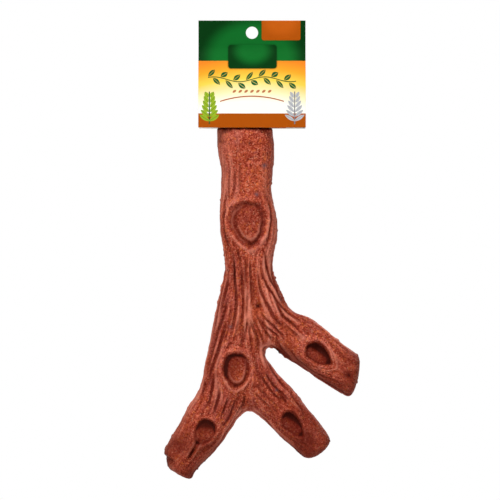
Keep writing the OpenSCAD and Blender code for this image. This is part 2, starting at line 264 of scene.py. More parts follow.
class Wire:
    """Output of a shader node. Each operation on it adds one Math node to its bench."""

    def __init__(self, bench: "Bench", socket: Socket) -> None:
        """Hold a socket and the bench of its tree."""
        self.bench, self.socket = bench, socket

    def __add__(self, other: Input) -> "Wire":
        """Sum."""
        return self.bench.math("ADD", self, other)

    def __sub__(self, other: Input) -> "Wire":
        """Difference."""
        return self.bench.math("SUBTRACT", self, other)

    def __rsub__(self, other: Input) -> "Wire":
        """Difference from a number."""
        return self.bench.math("SUBTRACT", other, self)

    def __mul__(self, other: Input) -> "Wire":
        """Product."""
        return self.bench.math("MULTIPLY", self, other)

    def __truediv__(self, other: Input) -> "Wire":
        """Quotient."""
        return self.bench.math("DIVIDE", self, other)

    def __rtruediv__(self, other: Input) -> "Wire":
        """A number over this."""
        return self.bench.math("DIVIDE", other, self)

    def __pow__(self, other: Input) -> "Wire":
        """Power."""
        return self.bench.math("POWER", self, other)

    def __abs__(self) -> "Wire":
        """Size without the sign."""
        return self.bench.math("ABSOLUTE", self)


class Part:
    """Shader node on a bench, whose outputs are read by name or number."""

    def __init__(self, bench: "Bench", node: bpy.types.Node) -> None:
        """Hold a node."""
        self.bench, self.node = bench, node

    def __getitem__(self, key: int | str) -> Wire:
        """One output."""
        return Wire(self.bench, self.node.outputs[key])


class Bench:
    """Places and joins shader nodes in one tree."""

    def __init__(self, tree: bpy.types.NodeTree) -> None:
        """Work on a tree."""
        self.tree = tree
        self.count = 0

    def add(self, kind: str, inputs: dict | None = None, **settings) -> Part:
        """Add a node.

        Args:
            kind: the node's type, such as "ShaderNodeMath".
            inputs: values or wires for its inputs, by name or number.
            settings: its own properties.

        Returns:
            The node.
        """
        node = self.tree.nodes.new(kind)
        node.location = (220 * (self.count % 12), -260 * (self.count // 12))
        self.count += 1
        for key, value in settings.items():
            setattr(node, key, value)
        for key, value in (inputs or {}).items():
            if isinstance(value, Wire):
                self.tree.links.new(value.socket, node.inputs[key])
            elif node.inputs[key].type == "RGBA":
                node.inputs[key].default_value = (*value, 1.0)
            else:
                node.inputs[key].default_value = value
        return Part(self, node)

    def math(self, operation: str, *values: Input, clamp: bool = False) -> Wire:
        """Result of one Math node."""
        return self.add("ShaderNodeMath", dict(enumerate(values)), operation=operation, use_clamp=clamp)[0]

    def vector(self, operation: str, inputs: dict) -> Wire:
        """Result of one Vector Math node."""
        return self.add("ShaderNodeVectorMath", inputs, operation=operation)[0]

    def far(self, x: Wire, y: Wire) -> Wire:
        """Length of the diagonal over two sides."""
        return self.math("SQRT", x * x + y * y)

    def ramp(self, value: Input, low: float, high: float, to_low: float = 0.0, to_high: float = 1.0) -> Wire:
        """Smooth ramp of a value from one range to another."""
        limits = {"Value": value, "From Min": low, "From Max": high, "To Min": to_low, "To Max": to_high}
        return self.add("ShaderNodeMapRange", limits, interpolation_type="SMOOTHSTEP")["Result"]

    def mix(self, share: Input, a: Input, b: Input) -> Wire:
        """Mix of two colours."""
        return self.add("ShaderNodeMix", {0: share, 6: a, 7: b}, data_type="RGBA")[2]

    def over(self, tint: Input, *coats: tuple[Input, Input]) -> Wire:
        """Colour with coats of others laid over it, each a (share, colour)."""
        for share, colour in coats:
            tint = self.mix(share, tint, colour)
        return tint

    def colours(self, value: Input, stops: Sequence[tuple[float, Colour]]) -> Wire:
        """Colour read from a row of stops (place, colour)."""
        read = self.add("ShaderNodeValToRGB", {"Fac": value})
        points = read.node.color_ramp.elements
        while len(points) < len(stops):
            points.new(0.5)
        for point, (at, colour) in zip(points, stops):
            point.position = at
            point.color = (*colour, 1.0)
        return read["Color"]

    def mask(self, name: str) -> Wire:
        """Value per vertex stored under a name."""
        return self.add("ShaderNodeAttribute", attribute_name=name)["Fac"]

    def place(self) -> Wire:
        """Place on the piece in metres, in the piece's own frame."""
        return self.add("ShaderNodeTexCoord")["Object"]

    def axes(self) -> tuple[Wire, Wire, Wire]:
        """The place's x, y and z."""
        split = self.add("ShaderNodeSeparateXYZ", {0: self.place()})
        return split[0], split[1], split[2]

    def group(self, tree: bpy.types.NodeTree, inputs: dict) -> Part:
        """Place a node group with its own values."""
        return self.add("ShaderNodeGroup", inputs, node_tree=tree)

    def rays(self, *kinds: str) -> Wire:
        """1 for rays of the kinds named and 0 for others."""
        path = self.add("ShaderNodeLightPath")
        seen = path[kinds[0]]
        for kind in kinds[1:]:
            seen = self.math("MAXIMUM", seen, path[kind])
        return seen

    def surface(self, inputs: dict, bump: tuple[float, float, Wire] | None = None) -> None:
        """Close a material with one Principled shader.

        Args:
            inputs: what its inputs get.
            bump: strength, distance in metres and height of its fine relief.
        """
        if bump:
            relief = self.add("ShaderNodeBump", dict(zip(("Strength", "Distance", "Height"), bump)))
            inputs["Normal"] = relief[0]
        shader = self.add("ShaderNodeBsdfPrincipled", inputs)
        self.add("ShaderNodeOutputMaterial", {"Surface": shader[0]})


def srgb(*levels: float) -> Colour:
    """Colour for a shader from its 0..255 screen values."""
    return tuple(v / 12.92 if v <= 0.04045 else ((v + 0.055) / 1.055) ** 2.4 for v in (c / 255 for c in levels))


def new_material(name: str) -> tuple[bpy.types.Material, Bench]:
    """Empty material.

    Args:
        name: name of the material.

    Returns:
        The material and a bench in it.
    """
    material = bpy.data.materials.new(name)
    material.use_nodes = True
    material.node_tree.nodes.clear()
    return material, Bench(material.node_tree)


def new_group(name: str, inputs: dict[str, float | tuple]) -> tuple[Bench, Part]:
    """Start a node group.

    Args:
        name: name of the group.
        inputs: default of each input by name, a tuple for a vector.

    Returns:
        A bench in it and its input node.
    """
    tree = bpy.data.node_groups.new(name, "ShaderNodeTree")
    for label, default in inputs.items():
        kind = "NodeSocketVector" if isinstance(default, tuple) else "NodeSocketFloat"
        tree.interface.new_socket(label, in_out="INPUT", socket_type=kind).default_value = default
    bench = Bench(tree)
    return bench, bench.add("NodeGroupInput")


def end_group(bench: Bench, outputs: dict[str, Wire]) -> bpy.types.NodeTree:
    """Finish a node group.

    Args:
        bench: its bench.
        outputs: what feeds each output, by the output's name.

    Returns:
        The group.
    """
    for label in outputs:
        bench.tree.interface.new_socket(label, in_out="OUTPUT", socket_type="NodeSocketFloat")
    bench.add("NodeGroupOutput", outputs)
    return bench.tree


class Effects:
    """Node groups that several finishes share, each built once."""

    def __init__(self) -> None:
        """Build all groups."""
        self.mottle = self._mottle()
        self.granules = self._granules()
        self.leaf = self._leaf()

    @staticmethod
    def _mottle() -> bpy.types.NodeTree:
        """Soft uneven patches and a finer grain, as values round 0.5."""
        sizes = {"Patch size mm": 10.0, "Grain size mm": 1.0}
        b, given = new_group("mottle", {"Place": (0, 0, 0), **sizes, "Stretch": (1, 1, 1)})
        at = b.vector("MULTIPLY", {0: given["Place"], 1: given["Stretch"]})
        made = {}
        for size, name, detail in (("Patch size mm", "Patches", 3.0), ("Grain size mm", "Grain", 2.0)):
            scale, rough = 1 / MM / given[size], {"Detail": detail, "Roughness": 0.6}
            made[name] = b.add("ShaderNodeTexNoise", {"Vector": at, "Scale": scale, **rough})["Fac"]
        return end_group(b, made)

    @staticmethod
    def _granules() -> bpy.types.NodeTree:
        """Packed grains: a random value for each grain, and the height of its rounded top."""
        b, given = new_group("granules", {"Place": (0, 0, 0), "Size mm": 1.0, "Warp": 0.0003})
        warp = b.add("ShaderNodeTexNoise", {"Vector": given["Place"], "Scale": 900.0, "Detail": 2.0})
        centred = b.vector("SUBTRACT", {0: warp["Color"], 1: (0.5, 0.5, 0.5)})
        shift = b.vector("SCALE", {0: centred, "Scale": given["Warp"]})
        at = b.vector("ADD", {0: given["Place"], 1: shift})
        cells = b.add("ShaderNodeTexVoronoi", {"Vector": at, "Scale": 1 / MM / given["Size mm"]})
        parts = b.add("ShaderNodeSeparateColor", {0: cells["Color"]})
        height = b.ramp(cells["Distance"], 0.0, 0.75, 1.0, 0.0)
        return end_group(b, {"Random": parts[0], "Second random": parts[1], "Height": height})

    @staticmethod
    def _leaf() -> bpy.types.NodeTree:
        """Pointed leaf on a flat print: how much of the place is inside it, and its midrib."""
        names = ("Across mm", "Up mm", "Middle across", "Middle up", "Turn")
        b, given = new_group("leaf", {**dict.fromkeys(names, 0.0), "Half length": 4.0, "Half width": 1.4})
        across, up, middle, high, turn = (given[name] for name in names)
        dx, dz = across - middle, up - high
        cos, sin = b.math("COSINE", turn), b.math("SINE", turn)
        side = abs(dz * cos - dx * sin)
        share = (dx * cos + dz * sin) / given["Half length"]
        inside = b.ramp(given["Half width"] * (1.0 - share * share) - side, -0.1, 0.1)
        rib = b.ramp(side, 0.08, 0.26, 1.0, 0.0) * b.ramp(abs(share), 0.75, 0.95, 1.0, 0.0)
        return end_group(b, {"Inside": inside, "Midrib": rib})


# ---------------------------------------------------------------- the branch


class KnotKind(Enum):
    """Forms that a knot takes."""

    RINGED = "a swelling inside a sunk ring"
    HOLLOW = "a deep hollow with a step in it"


@dataclass(frozen=True)
class Knot:
    """Drop-shaped scar of a side branch, with its pointed end away from the trunk's top.

    The lean turns the point from straight down towards +X. The fall is how much deeper the floor lies at its
    upper or outer side than at the other one, and fall_turn says which way that is, in degrees from straight up.
    """

    kind: KnotKind
    x: float
    z: float
    half_width: float
    half_length: float
    lean: float
    depth: float
    lip: float
    fall: float
    fall_turn: float
    rims: int = 1
    taper: float = 0.33

    def local(self, x: Array, z: Array) -> tuple[Array, Array, Array]:
        """Places seen from the knot.

        Args:
            x: places across the branch in millimetres.
            z: heights in millimetres.

        Returns:
            How far out each place is, where 1 is the outline, and its shares across the knot and towards the tip.
        """
        lean = math.radians(self.lean)
        dx, dz = x - self.x, z - self.z
        down = (dx * math.sin(lean) - dz * math.cos(lean)) / self.half_length
        side = (dx * math.cos(lean) + dz * math.sin(lean)) / self.half_width
        narrow = 1.0 - self.taper * np.clip(down, -1.6, 1.6)
        return np.hypot(side / narrow, down), side, down

    def height(self, x: Array, z: Array, wobble: Array) -> tuple[Array, Array, Array, Array]:
        """Relief of the knot.

        Args:
            x: places across the branch in millimetres.
            z: heights in millimetres.
            wobble: small uneven values that keep its rings from being too true.

        Returns:
            The height over the bark, how much bark is left there, and how much painted shade and painted highlight the
            place gets.
        """
        out, side, down = self.local(x, z)
        r = out * (1.0 + 0.05 * wobble)
        turn = math.radians(self.fall_turn)
        upper = ((x - self.x) * math.sin(turn) + (z - self.z) * math.cos(turn)) / self.half_width
        low_side = smoothstep(down + 0.4 * side, -0.7, 0.8)
        lip = self.lip * (0.35 + 0.6 * low_side) * np.clip(0.8 + 0.5 * wobble, 0.2, 1.3) * bell(r - 1.12, 0.14)
        for k in range(1, self.rims):
            ring = 1.13 + 0.27 * k
            lip += 0.75**k * self.lip * low_side * bell(r - ring, 0.085)
            lip -= 0.4 * self.lip * low_side * bell(r - ring + 0.135, 0.07)
        wall = 1.0 - smoothstep(r, 0.86, 1.04)
        if self.kind is KnotKind.RINGED:
            sunk, shade, painted_highlight = self._ringed(r, side, down, upper)
            point = 0.35
        else:
            sunk, shade, painted_highlight = self._bowl(r, down, upper)
            lip += 0.16 * wall * np.cos(TURN * r / 0.27 + 0.8 * wobble) * smoothstep(r, 0.25, 0.5)
            point = 1.2
        tip = point * bell(side, 0.2) * bell(down - 0.9, 0.2)
        bark = 1.0 - np.exp(-((out / 1.3) ** 8))
        return lip - wall * sunk - tip, bark, np.clip(wall * shade + 0.6 * tip, 0, 1), painted_highlight

    def _ringed(self, r: Array, side: Array, down: Array, upper: Array) -> tuple[Array, Array, Array]:
        """Depth, painted shade and painted highlight of a swelling with a ridge round it and a rib at its left, inside
        a sunk ring.
        """
        edge = 0.64 + 0.09 * np.clip(side, -1, 1) + 0.14 * np.clip(np.abs(down), 0, 1)
        pad = 1.0 - smoothstep(r, edge - 0.08, edge + 0.09)
        crown = 0.45 * (1 - np.clip(r / 0.8, 0, 1) ** 2)
        ridge = bell(r - edge + 0.11, 0.07) * smoothstep(down + 0.5 * np.abs(side), -0.2, 0.6)
        rib = bell(r - 0.83, 0.06) * smoothstep(-side, 0.0, 0.45) * max(0.0, 1.0 - self.fall)
        tilt = self.fall * np.clip(0.35 + 0.65 * upper, -0.3, 1)
        sunk = self.depth * (1 - 0.72 * pad) + (tilt - crown) * pad - 0.3 * ridge - 1.1 * rib
        shade = 0.24 + 0.42 * (1.0 - pad) - 0.5 * rib + np.clip(self.fall * 0.2 * (upper + 0.45), 0, 0.45)
        return sunk, shade, 0.5 * ridge + 0.7 * rib

    def _bowl(self, r: Array, down: Array, upper: Array) -> tuple[Array, Array, Array]:
        """Depth and painted shade of a hollow whose floor falls to one side and swells at the other, with no painted
        highlight.
        """
        bowl = 1.0 - smoothstep(r, 0.3, 0.98)
        drop = np.clip(0.55 + 0.55 * upper, 0.1, 1.15) * (1.0 - 0.4 * smoothstep(r, 0.5, 0.95))
        swell = bell(upper + 0.3, 0.4) * bell(down + 0.15, 0.6)
        sunk = self.depth * (0.5 + 0.3 * bowl) + self.fall * drop - swell
        shade = 0.58 + 0.48 * smoothstep(upper, -0.5, 0.75) + 0.3 * bell(r - 0.86, 0.1) - 0.3 * swell
        return sunk, np.clip(shade + 0.15 * (self.depth - 2.4), 0, 1.2), np.zeros(len(r))


def patch(x: Array, z: Array, spot: tuple[float, float, float, float]) -> Array:
    """Soft patch, from 1 at its middle to 0: its x and z, and how far it reaches in x and in z."""
    return bell(x - spot[0], spot[2]) * bell(z - spot[1], spot[3])


def furrow(away: Array) -> Array:
    """Section of a groove: 1 on its line and 0.22 at its half width, where away is 1."""
    return np.exp(-1.5 * away**1.7)


@dataclass(frozen=True)
class Groove:
    """Groove of the bark along a row of (x, z) points in millimetres."""

    depth: float
    half_width: float
    path: Array

    @classmethod
    def of(cls, depth: float, half_width: float, *path: float) -> "Groove":
        """Groove from a row of the table: its depth, half its width, and x and z of each point."""
        return cls(depth, half_width, np.reshape(path, (-1, 2)))

    def cut(self, x: Array, z: Array) -> tuple[Array, Array, Array, Array]:
        """Groove at places in the plane of the branch.

        Args:
            x: places across the branch in millimetres.
            z: heights in millimetres.

        Returns:
            The depth, the rise of the bark at both sides, how near the groove is, and how much of it is left there.
        """
        steps = len(self.path) - 1
        fine = through(self.path, np.linspace(0, steps, 3 * steps + 1))
        run = np.concatenate([[0], np.cumsum(np.hypot(*np.diff(fine, axis=0).T))])
        best, at = np.full(len(x), 1e9), np.zeros(len(x))
        low, high = fine.min(0) - 4, fine.max(0) + 4
        near = (x > low[0]) & (x < high[0]) & (z > low[1]) & (z < high[1])
        px, pz = x[near], z[near]
        b, s = best[near], at[near]
        for k, ((ax, az), (bx, bz)) in enumerate(zip(fine, fine[1:])):
            length2 = (bx - ax) ** 2 + (bz - az) ** 2
            t = np.clip(((px - ax) * (bx - ax) + (pz - az) * (bz - az)) / length2, 0, 1)
            d = np.hypot(px - ax - t * (bx - ax), pz - az - t * (bz - az))
            s = np.where(d < b, run[k] + t * math.sqrt(length2), s)
            b = np.minimum(b, d)
        best[near], at[near] = b, s
        length = run[-1]
        ends = 0.05 + 0.95 * smoothstep(at, -1.0, 0.28 * length) * smoothstep(length - at, -1.0, 0.3 * length)
        t = best / self.half_width
        return self.depth * ends * furrow(t), 0.2 * self.depth * ends * bell(t - 2.1, 0.8), bell(best, 3.0), ends


@dataclass(frozen=True)
class Limb:
    """Limb as a row of sections.

    Each row has the middle's x and z, half the width, half the depth, the lean and the strength of the bark. The
    edges are the radii at both ends, and dome and slant shape the far end.
    """

    rows: tuple[tuple[float, ...], ...]
    start_edge: float = 2.8
    end_edge: float = 2.8
    dome: float = 0.0
    slant: float = 0.0

    def stations(self, step: float) -> Array:
        """Sections read every step millimetres along the limb."""
        rows = np.array(self.rows, dtype=float)
        length = np.hypot(*np.diff(rows[:, :2], axis=0).T).sum()
        return through(rows, np.linspace(0, len(rows) - 1, int(length / step) + 2))

    def rings(self) -> list[Array]:
        """Rings of points round the limb, in millimetres."""
        sides, step, power = 40, 2.5, BranchForm.POWER
        a = np.linspace(0, TURN, sides, endpoint=False)
        made = []
        for x, z, hw, ht, lean, _ in self.stations(step):
            r = ((np.abs(np.sin(a)) / hw) ** power + (np.abs(np.cos(a)) / ht) ** power) ** (-1 / power)
            u = r * np.sin(a)
            c, s = math.cos(math.radians(lean)), math.sin(math.radians(lean))
            made.append(np.c_[x + u * c, -r * np.cos(a), z + u * s])
        return made


@dataclass(frozen=True)
class Web:
    """Bent bar that rounds a crotch: its middle, the crotch's radius, half its width and depth, and its turn."""

    x: float
    z: float
    inner: float
    half_w: float
    half_t: float
    turn: tuple[float, float]

    def rings(self) -> list[Array]:
        """Rings of points round the bar, in millimetres."""
        sides, count = 20, 14
        a = np.linspace(0, TURN, sides, endpoint=False)
        out = self.inner + self.half_w * (1 - np.cos(a))
        made = []
        for turn in np.radians(np.linspace(*self.turn, count)):
            made.append(np.c_[self.x + out * math.cos(turn), self.half_t * np.sin(a), self.z + out * math.sin(turn)])
        return made

    def seen(self, x: Array, z: Array) -> tuple[Array, Array, Array, float, float]:
        """Places seen from the middle of the bend.

        Args:
            x: places across the branch in millimetres.
            z: heights in millimetres.

        Returns:
            The way there in x and in z, the angle from the middle of the bend, that middle and half the bend's angle.
        """
        dx, dz = x - self.x, z - self.z
        middle, half = math.radians(sum(self.turn) / 2), math.radians((self.turn[1] - self.turn[0]) / 2)
        return dx, dz, np.angle(np.exp(1j * (np.arctan2(dz, dx) - middle))), middle, half

    def distance(self, x: Array, y: Array, z: Array) -> Array:
        """Distance to the bar's skin, below zero inside it."""
        dx, dz, angle, _, half = self.seen(x, z)
        out = np.hypot(dx, dz) - self.inner - self.half_w
        q = np.sqrt((out / self.half_w) ** 2 + (y / self.half_t) ** 2)
        side = np.hypot(out, y) * (1 - 1 / np.maximum(q, 0.05))
        return np.maximum(side, (np.abs(angle) - half) * np.hypot(dx, dz))

    def near(self, x: Array, z: Array) -> Array:
        """How near each place is to the rounded crotch, from 0 to 1."""
        dx, dz, angle, middle, half = self.seen(x, z)
        turn = np.clip(angle, -half, half) + middle
        out = self.inner + 1.0
        return bell(np.hypot(dx - out * np.cos(turn), dz - out * np.sin(turn)), 5.0)


class Plane:
    """Grid of 1 mm in the plane of the branch, with values that are read between its points."""

    def __init__(self, low: tuple[float, float], high: tuple[float, float]) -> None:
        """Cover a rectangle of (x, z) from low to high."""
        self.low = low
        self.nx, self.nz = int(high[0] - low[0]) + 1, int(high[1] - low[1]) + 1
        self.shape = (self.nz, self.nx)
        gx, gz = np.meshgrid(np.arange(self.nx) + low[0], np.arange(self.nz) + low[1])
        self.x, self.z = gx.ravel(), gz.ravel()

    def read(self, values: Array, x: Array, z: Array) -> Array:
        """Value at each place, between the grid's points."""
        v = values.reshape(self.shape)
        fx = np.clip(x - self.low[0], 0, self.nx - 1.001)
        fz = np.clip(z - self.low[1], 0, self.nz - 1.001)
        i, j = fx.astype(int), fz.astype(int)
        a, b = fx - i, fz - j
        return (1 - b) * ((1 - a) * v[j, i] + a * v[j, i + 1]) + b * ((1 - a) * v[j + 1, i] + a * v[j + 1, i + 1])


def around(grid: Array) -> Array:
    """Sum of the four neighbours of each point of a grid."""
    g = np.pad(grid, 1)
    return g[:-2, 1:-1] + g[2:, 1:-1] + g[1:-1, :-2] + g[1:-1, 2:]


class Laid(NamedTuple):
    """One limb on the grid, with the way past its start and past its end."""

    across: Array
    half_width: Array
    half_depth: Array
    start: Array
    end: Array
    bark: Array


class BranchForm:
    """Smooth form of the branch under its bark, as a distance to its skin."""

    POWER = 2.3  # of the oval sections: 2 is an ellipse
    BLEND = 2.0  # size of the soft line where two limbs meet
    STEP = 0.8  # between the sections that are laid on the grid
    REACH = 20  # sections from an end whose neighbourhood can lie past it
    WITHIN = -12.0  # way past an end that counts beside the other sections
    CROTCHES = (0.38, 0.69)  # shares of the grain that part at the left and the right crotch
    ROUNDS = (400, 500)  # of relaxation, before and after each knot takes one share
    OVER = 1.85  # over-relaxation
    TRUNK = 17.0  # half the trunk's width, which scales the turn
    FADE = 30  # rounds that carry the grain's spacing past the edges

    def __init__(self, limbs: Sequence[Limb], webs: Sequence[Web], knots: Sequence[Knot]) -> None:
        """Lay out the limbs' sections in the plane of the branch."""
        self.limbs, self.webs, self.knots = limbs, webs, knots
        self.plane = Plane((-72, -240), (88, 12))
        self.maps = [self._lay(limb) for limb in limbs]
        middle = np.c_[self.plane.x, np.zeros(len(self.plane.x)), self.plane.z]
        nearest = np.argmin([self._limb_distance(k, *middle.T) for k in range(len(limbs))], axis=0)
        self.inside = self.distance(middle) < 0.4
        self.bark = np.choose(nearest, [laid.bark for laid in self.maps])
        self.flow = self._flow()
        self.turn = self.TRUNK * np.arcsin(2 * np.clip(self.flow, 0.004, 0.996) - 1)
        self.spread = self._spread()

    def at(self, values: Array, p: Array) -> Array:
        """Values of the grid at points in millimetres."""
        return self.plane.read(values, p[:, 0], p[:, 2])

    def _lay(self, limb: Limb) -> Laid:
        """Read a limb's nearest section at each point of the grid."""
        s = limb.stations(self.STEP)
        x, z = self.plane.x, self.plane.z
        lean = np.radians(s[:, 4])
        tx, tz = np.sin(lean), -np.cos(lean)
        best, at = np.full(len(x), 1e9), np.zeros(len(x), dtype=int)
        for k, (sx, sz) in enumerate(s[:, :2]):
            off = (x - sx) * tx[k] + (z - sz) * tz[k]
            cost = np.abs(off) + 0.02 * np.hypot(x - sx, z - sz)
            closer = cost < best
            best, at = np.where(closer, cost, best), np.where(closer, k, at)
        across = (x - s[at, 0]) * np.cos(lean[at]) + (z - s[at, 1]) * np.sin(lean[at])
        start = -((x - s[0, 0]) * tx[0] + (z - s[0, 1]) * tz[0])
        end = (x - s[-1, 0]) * tx[-1] + (z - s[-1, 1]) * tz[-1]
        start = np.where(at <= self.REACH, start, np.minimum(start, self.WITHIN))
        end = np.where(at >= len(s) - 1 - self.REACH, end, np.minimum(end, self.WITHIN))
        return Laid(across, s[at, 2], s[at, 3], start, end, s[at, 5])

    def _limb_distance(self, k: int, x: Array, y: Array, z: Array) -> Array:
        """Distance to one limb's skin."""
        across, hw, ht, start, end = (self.plane.read(m, x, z) for m in self.maps[k][:5])
        q = ((np.abs(across) / hw) ** self.POWER + (np.abs(y) / ht) ** self.POWER) ** (1 / self.POWER)
        r = np.hypot(across, y)
        side = np.where(q > 1e-3, r * (1 - 1 / np.maximum(q, 1e-3)), -np.minimum(hw, ht))
        limb = self.limbs[k]
        end = end + limb.dome * (np.clip(q, 0, 1.2) ** 2 - 0.45) + limb.slant * across
        edge = np.where(start > end, limb.start_edge, limb.end_edge)
        a, b = side + edge, np.maximum(start, end) + edge
        return np.minimum(np.maximum(a, b), 0) + np.hypot(np.maximum(a, 0), np.maximum(b, 0)) - edge

    def distance(self, p: Array) -> Array:
        """Distance from points in millimetres to the branch's skin, below zero inside it."""
        total, *others = [self._limb_distance(k, *p.T) for k in range(len(self.limbs))]
        for other in others + [web.distance(*p.T) for web in self.webs]:
            h = np.clip(0.5 + 0.5 * (other - total) / self.BLEND, 0, 1)
            total = other * (1 - h) + total * h - self.BLEND * h * (1 - h)
        return total

    def outward(self, p: Array, step: float = 0.4) -> Array:
        """Unit direction away from the branch at each point."""
        g = np.transpose([self.distance(p + d) - self.distance(p - d) for d in step * np.eye(3)])
        return g / np.maximum(np.linalg.norm(g, axis=1), 1e-9)[:, None]

    def _flow(self) -> Array:
        """Share of the grain that runs left of each point, from 0 at the left edge to 1 at the right edge.

        The grain runs down the trunk and parts at the forks, so lines of one share follow the bark from the
        trunk into the limbs. The shares are the steady state between the edges, found by over-relaxation.
        """
        shape = self.plane.shape
        trunk, right, lower = self.maps[:3]
        edge = np.where(lower.across > 0, self.CROTCHES[1], self.CROTCHES[0])
        edge = np.where(trunk.across < 0, 0.0, np.where(right.across > 0, 1.0, edge))
        open_end = self.plane.z > -1.0
        for m in (trunk, right, lower):
            open_end |= (m.end > -1.0) & (np.abs(m.across) < m.half_width + 1.5)
        known = ~self.inside & ~open_end
        weight = (self.inside | known).reshape(shape).astype(float)
        v = np.where(known, edge, 0.5).reshape(shape)
        free = self.inside.reshape(shape)
        chequer = (np.indices(shape).sum(axis=0) % 2).astype(bool)
        total = np.maximum(around(weight), 1)
        for rounds in self.ROUNDS:
            for _ in range(rounds):
                for parity in (chequer, ~chequer):
                    v = np.where(free & parity, v + self.OVER * (around(v * weight) / total - v), v)
            for knot in self.knots:
                within = (knot.local(self.plane.x, self.plane.z)[0] < 0.95).reshape(shape)
                v = np.where(within, v[within].mean(), v)
                free = free & ~within
        return v.ravel()

    def _spread(self) -> Array:
        """How many times the grain has doubled its spacing since the trunk, at each point of the grid."""
        shape = self.plane.shape
        known = self.inside.reshape(shape).astype(float)
        steep = np.where(known > 0, np.hypot(*np.gradient(self.turn.reshape(shape))[::-1]), 0.0)
        for _ in range(self.FADE):
            near, count = around(steep) + steep, around(known) + known
            steep = np.where(count > 0, near / np.maximum(count, 1), 0.0)
            known = np.minimum(count, 1.0)
        return np.clip(-np.log2(np.maximum(steep, 0.05)), 0.0, 2.0).ravel()


